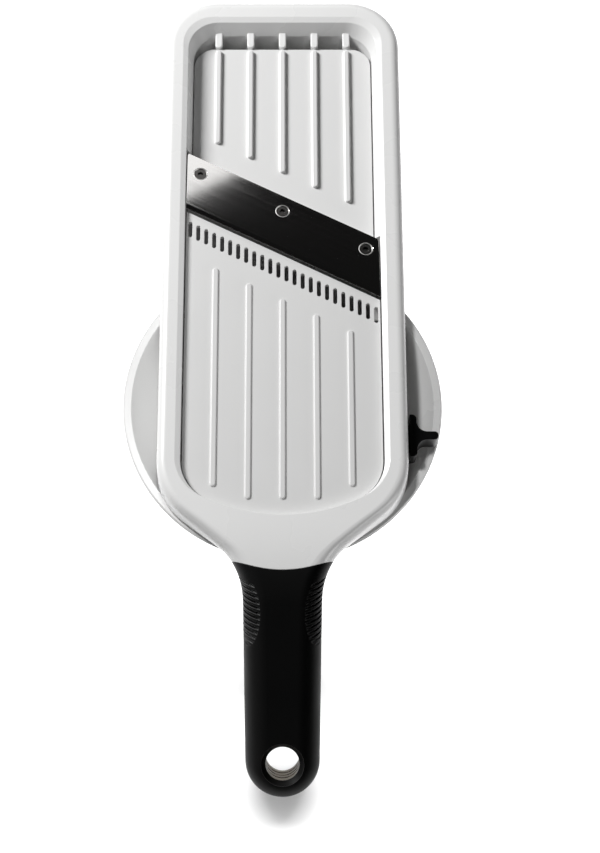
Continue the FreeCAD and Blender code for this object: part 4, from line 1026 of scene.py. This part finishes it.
def light_floor(sizes, near_floor, far_floor, shade):
    """Lights that fall on one stretch of the floor alone."""
    floor_light = soft_light(
        "floor_light", place=(0.0, -0.53, 1.5), target=(0.0, 0.05, 0.0), size=(0.14, 0.14),
        power=sizes.floor_light,
    )
    shadow_light = soft_light(
        "shadow_light", place=(0.0, 1.0, 1.25), target=(0.0, -0.15, 0.0), size=(1.9, 0.7),
        power=sizes.shadow_light,
    )
    hole_light = narrow_light(
        "hole_light", place=(0.0, HOLE_Y, 0.6), target=(0.0, HOLE_Y, 0.0), cone=math.radians(3.0),
        power=sizes.hole_light,
    )
    floor_fill = soft_light(
        "floor_fill", place=(0.0, 0.30, 1.6), target=(0.0, 0.0, 0.0), size=(2.2, 2.2),
        power=sizes.floor_fill,
    )
    lit(floor_light, [far_floor])
    for light in (shadow_light, hole_light, floor_fill):
        lit(light, [near_floor])
    shaded(shadow_light, nodes("grip", "hang_sleeve"))
    shaded(hole_light, nodes("far_foot"))
    shaded(floor_fill, [shade], "EXCLUDE")


def make_surroundings(scene, sizes):
    """Dim room with a white background."""
    world = bpy.data.worlds.new("studio_room")
    world.use_nodes = True
    tree = world.node_tree
    tree.nodes.clear()
    seen = add_node(tree, "ShaderNodeBackground", Color=grey(1.0), Strength=1.0)
    room = add_node(tree, "ShaderNodeBackground", Color=grey(1.0))
    path = add_node(tree, "ShaderNodeLightPath")
    strength = spread(tree, path.outputs["Is Diffuse Ray"], sizes.room_mirrored, sizes.room_light)
    join(tree, strength, room.inputs["Strength"])
    mixed = mixed_shader(
        tree, path.outputs["Is Camera Ray"], room.outputs["Background"], seen.outputs["Background"],
    )
    join(tree, mixed, add_node(tree, "ShaderNodeOutputWorld").inputs["Surface"])
    scene.world = world


def place_camera(scene, sizes):
    """Camera at the photograph's angle."""
    camera = bpy.data.cameras.new("photo_camera")
    camera.sensor_width = SENSOR_W
    camera.lens = sizes.lens
    camera.shift_x = sizes.shift
    camera.clip_start = CLIP_START
    holder = bpy.data.objects.new("photo_camera", camera)
    holder.location = sizes.camera_place
    holder.rotation_euler = (sizes.camera_tilt, 0.0, 0.0)
    scene.collection.objects.link(holder)
    scene.camera = holder


class SLICER_OT_studio(bpy.types.Operator):
    """Pale floor, soft lights and the camera"""

    bl_idname = "slicer.studio"
    bl_label = "Studio"

    def execute(self, context):
        sizes = context.scene.slicer.studio
        paint = floor_finish(sizes)
        ground = CAD_BOX[0].z - FLOOR_DROP
        width = (-FLOOR_HALF, FLOOR_HALF)
        near_floor = make_card("near_floor", width, (-FLOOR_HALF, FLOOR_SEAM_Y), ground, paint)
        far_floor = make_card("far_floor", width, (FLOOR_SEAM_Y, FLOOR_HALF), ground, paint)
        slot_shade = make_shade(
            "slot_shade", across=(-0.058, 0.054), along=(0.030, 0.098), height=0.066, paint=paint,
        )
        holder = nodes("holder_guard", "prong_plate", "prongs", "knob_core", "knob_cap")
        light_slicer(sizes, [near_floor, far_floor], holder, slot_shade)
        light_holder(sizes, holder, slot_shade)
        light_floor(sizes, near_floor, far_floor, slot_shade)
        make_surroundings(context.scene, sizes)
        place_camera(context.scene, sizes)
        context.scene.view_settings.view_transform = "Standard"
        return {"FINISHED"}


# Sidebar and registration


class SLICER_PT_sidebar(bpy.types.Panel):
    """Steps that finish the slicer"""

    bl_idname = "SLICER_PT_sidebar"
    bl_label = "Mandoline slicer"
    bl_space_type = "VIEW_3D"
    bl_region_type = "UI"
    bl_category = "Slicer"

    def draw(self, context):
        for step in STEPS:
            self.layout.operator(step.bl_idname)


STEPS = (
    SLICER_OT_white_mouldings,
    SLICER_OT_soft_pieces,
    SLICER_OT_slider_pieces,
    SLICER_OT_blade,
    SLICER_OT_small_metal,
    SLICER_OT_blade_screws,
    SLICER_OT_thickness_scale,
    SLICER_OT_studio,
)

SETTINGS = (FinishSettings, ScrewSettings, ScaleSettings, StudioSettings, SlicerSettings)

CLASSES = SETTINGS + STEPS + (SLICER_PT_sidebar,)


def register():
    for cls in CLASSES:
        bpy.utils.register_class(cls)
    bpy.types.Scene.slicer = PointerProperty(type=SlicerSettings)


def unregister():
    del bpy.types.Scene.slicer
    for cls in reversed(CLASSES):
        bpy.utils.unregister_class(cls)


def main():
    register()
    bpy.ops.slicer.white_mouldings()
    bpy.ops.slicer.soft_pieces()
    bpy.ops.slicer.slider_pieces()
    bpy.ops.slicer.blade()
    bpy.ops.slicer.small_metal()
    bpy.ops.slicer.blade_screws()
    bpy.ops.slicer.thickness_scale()
    bpy.ops.slicer.studio()


if __name__ == "__main__":
    main()
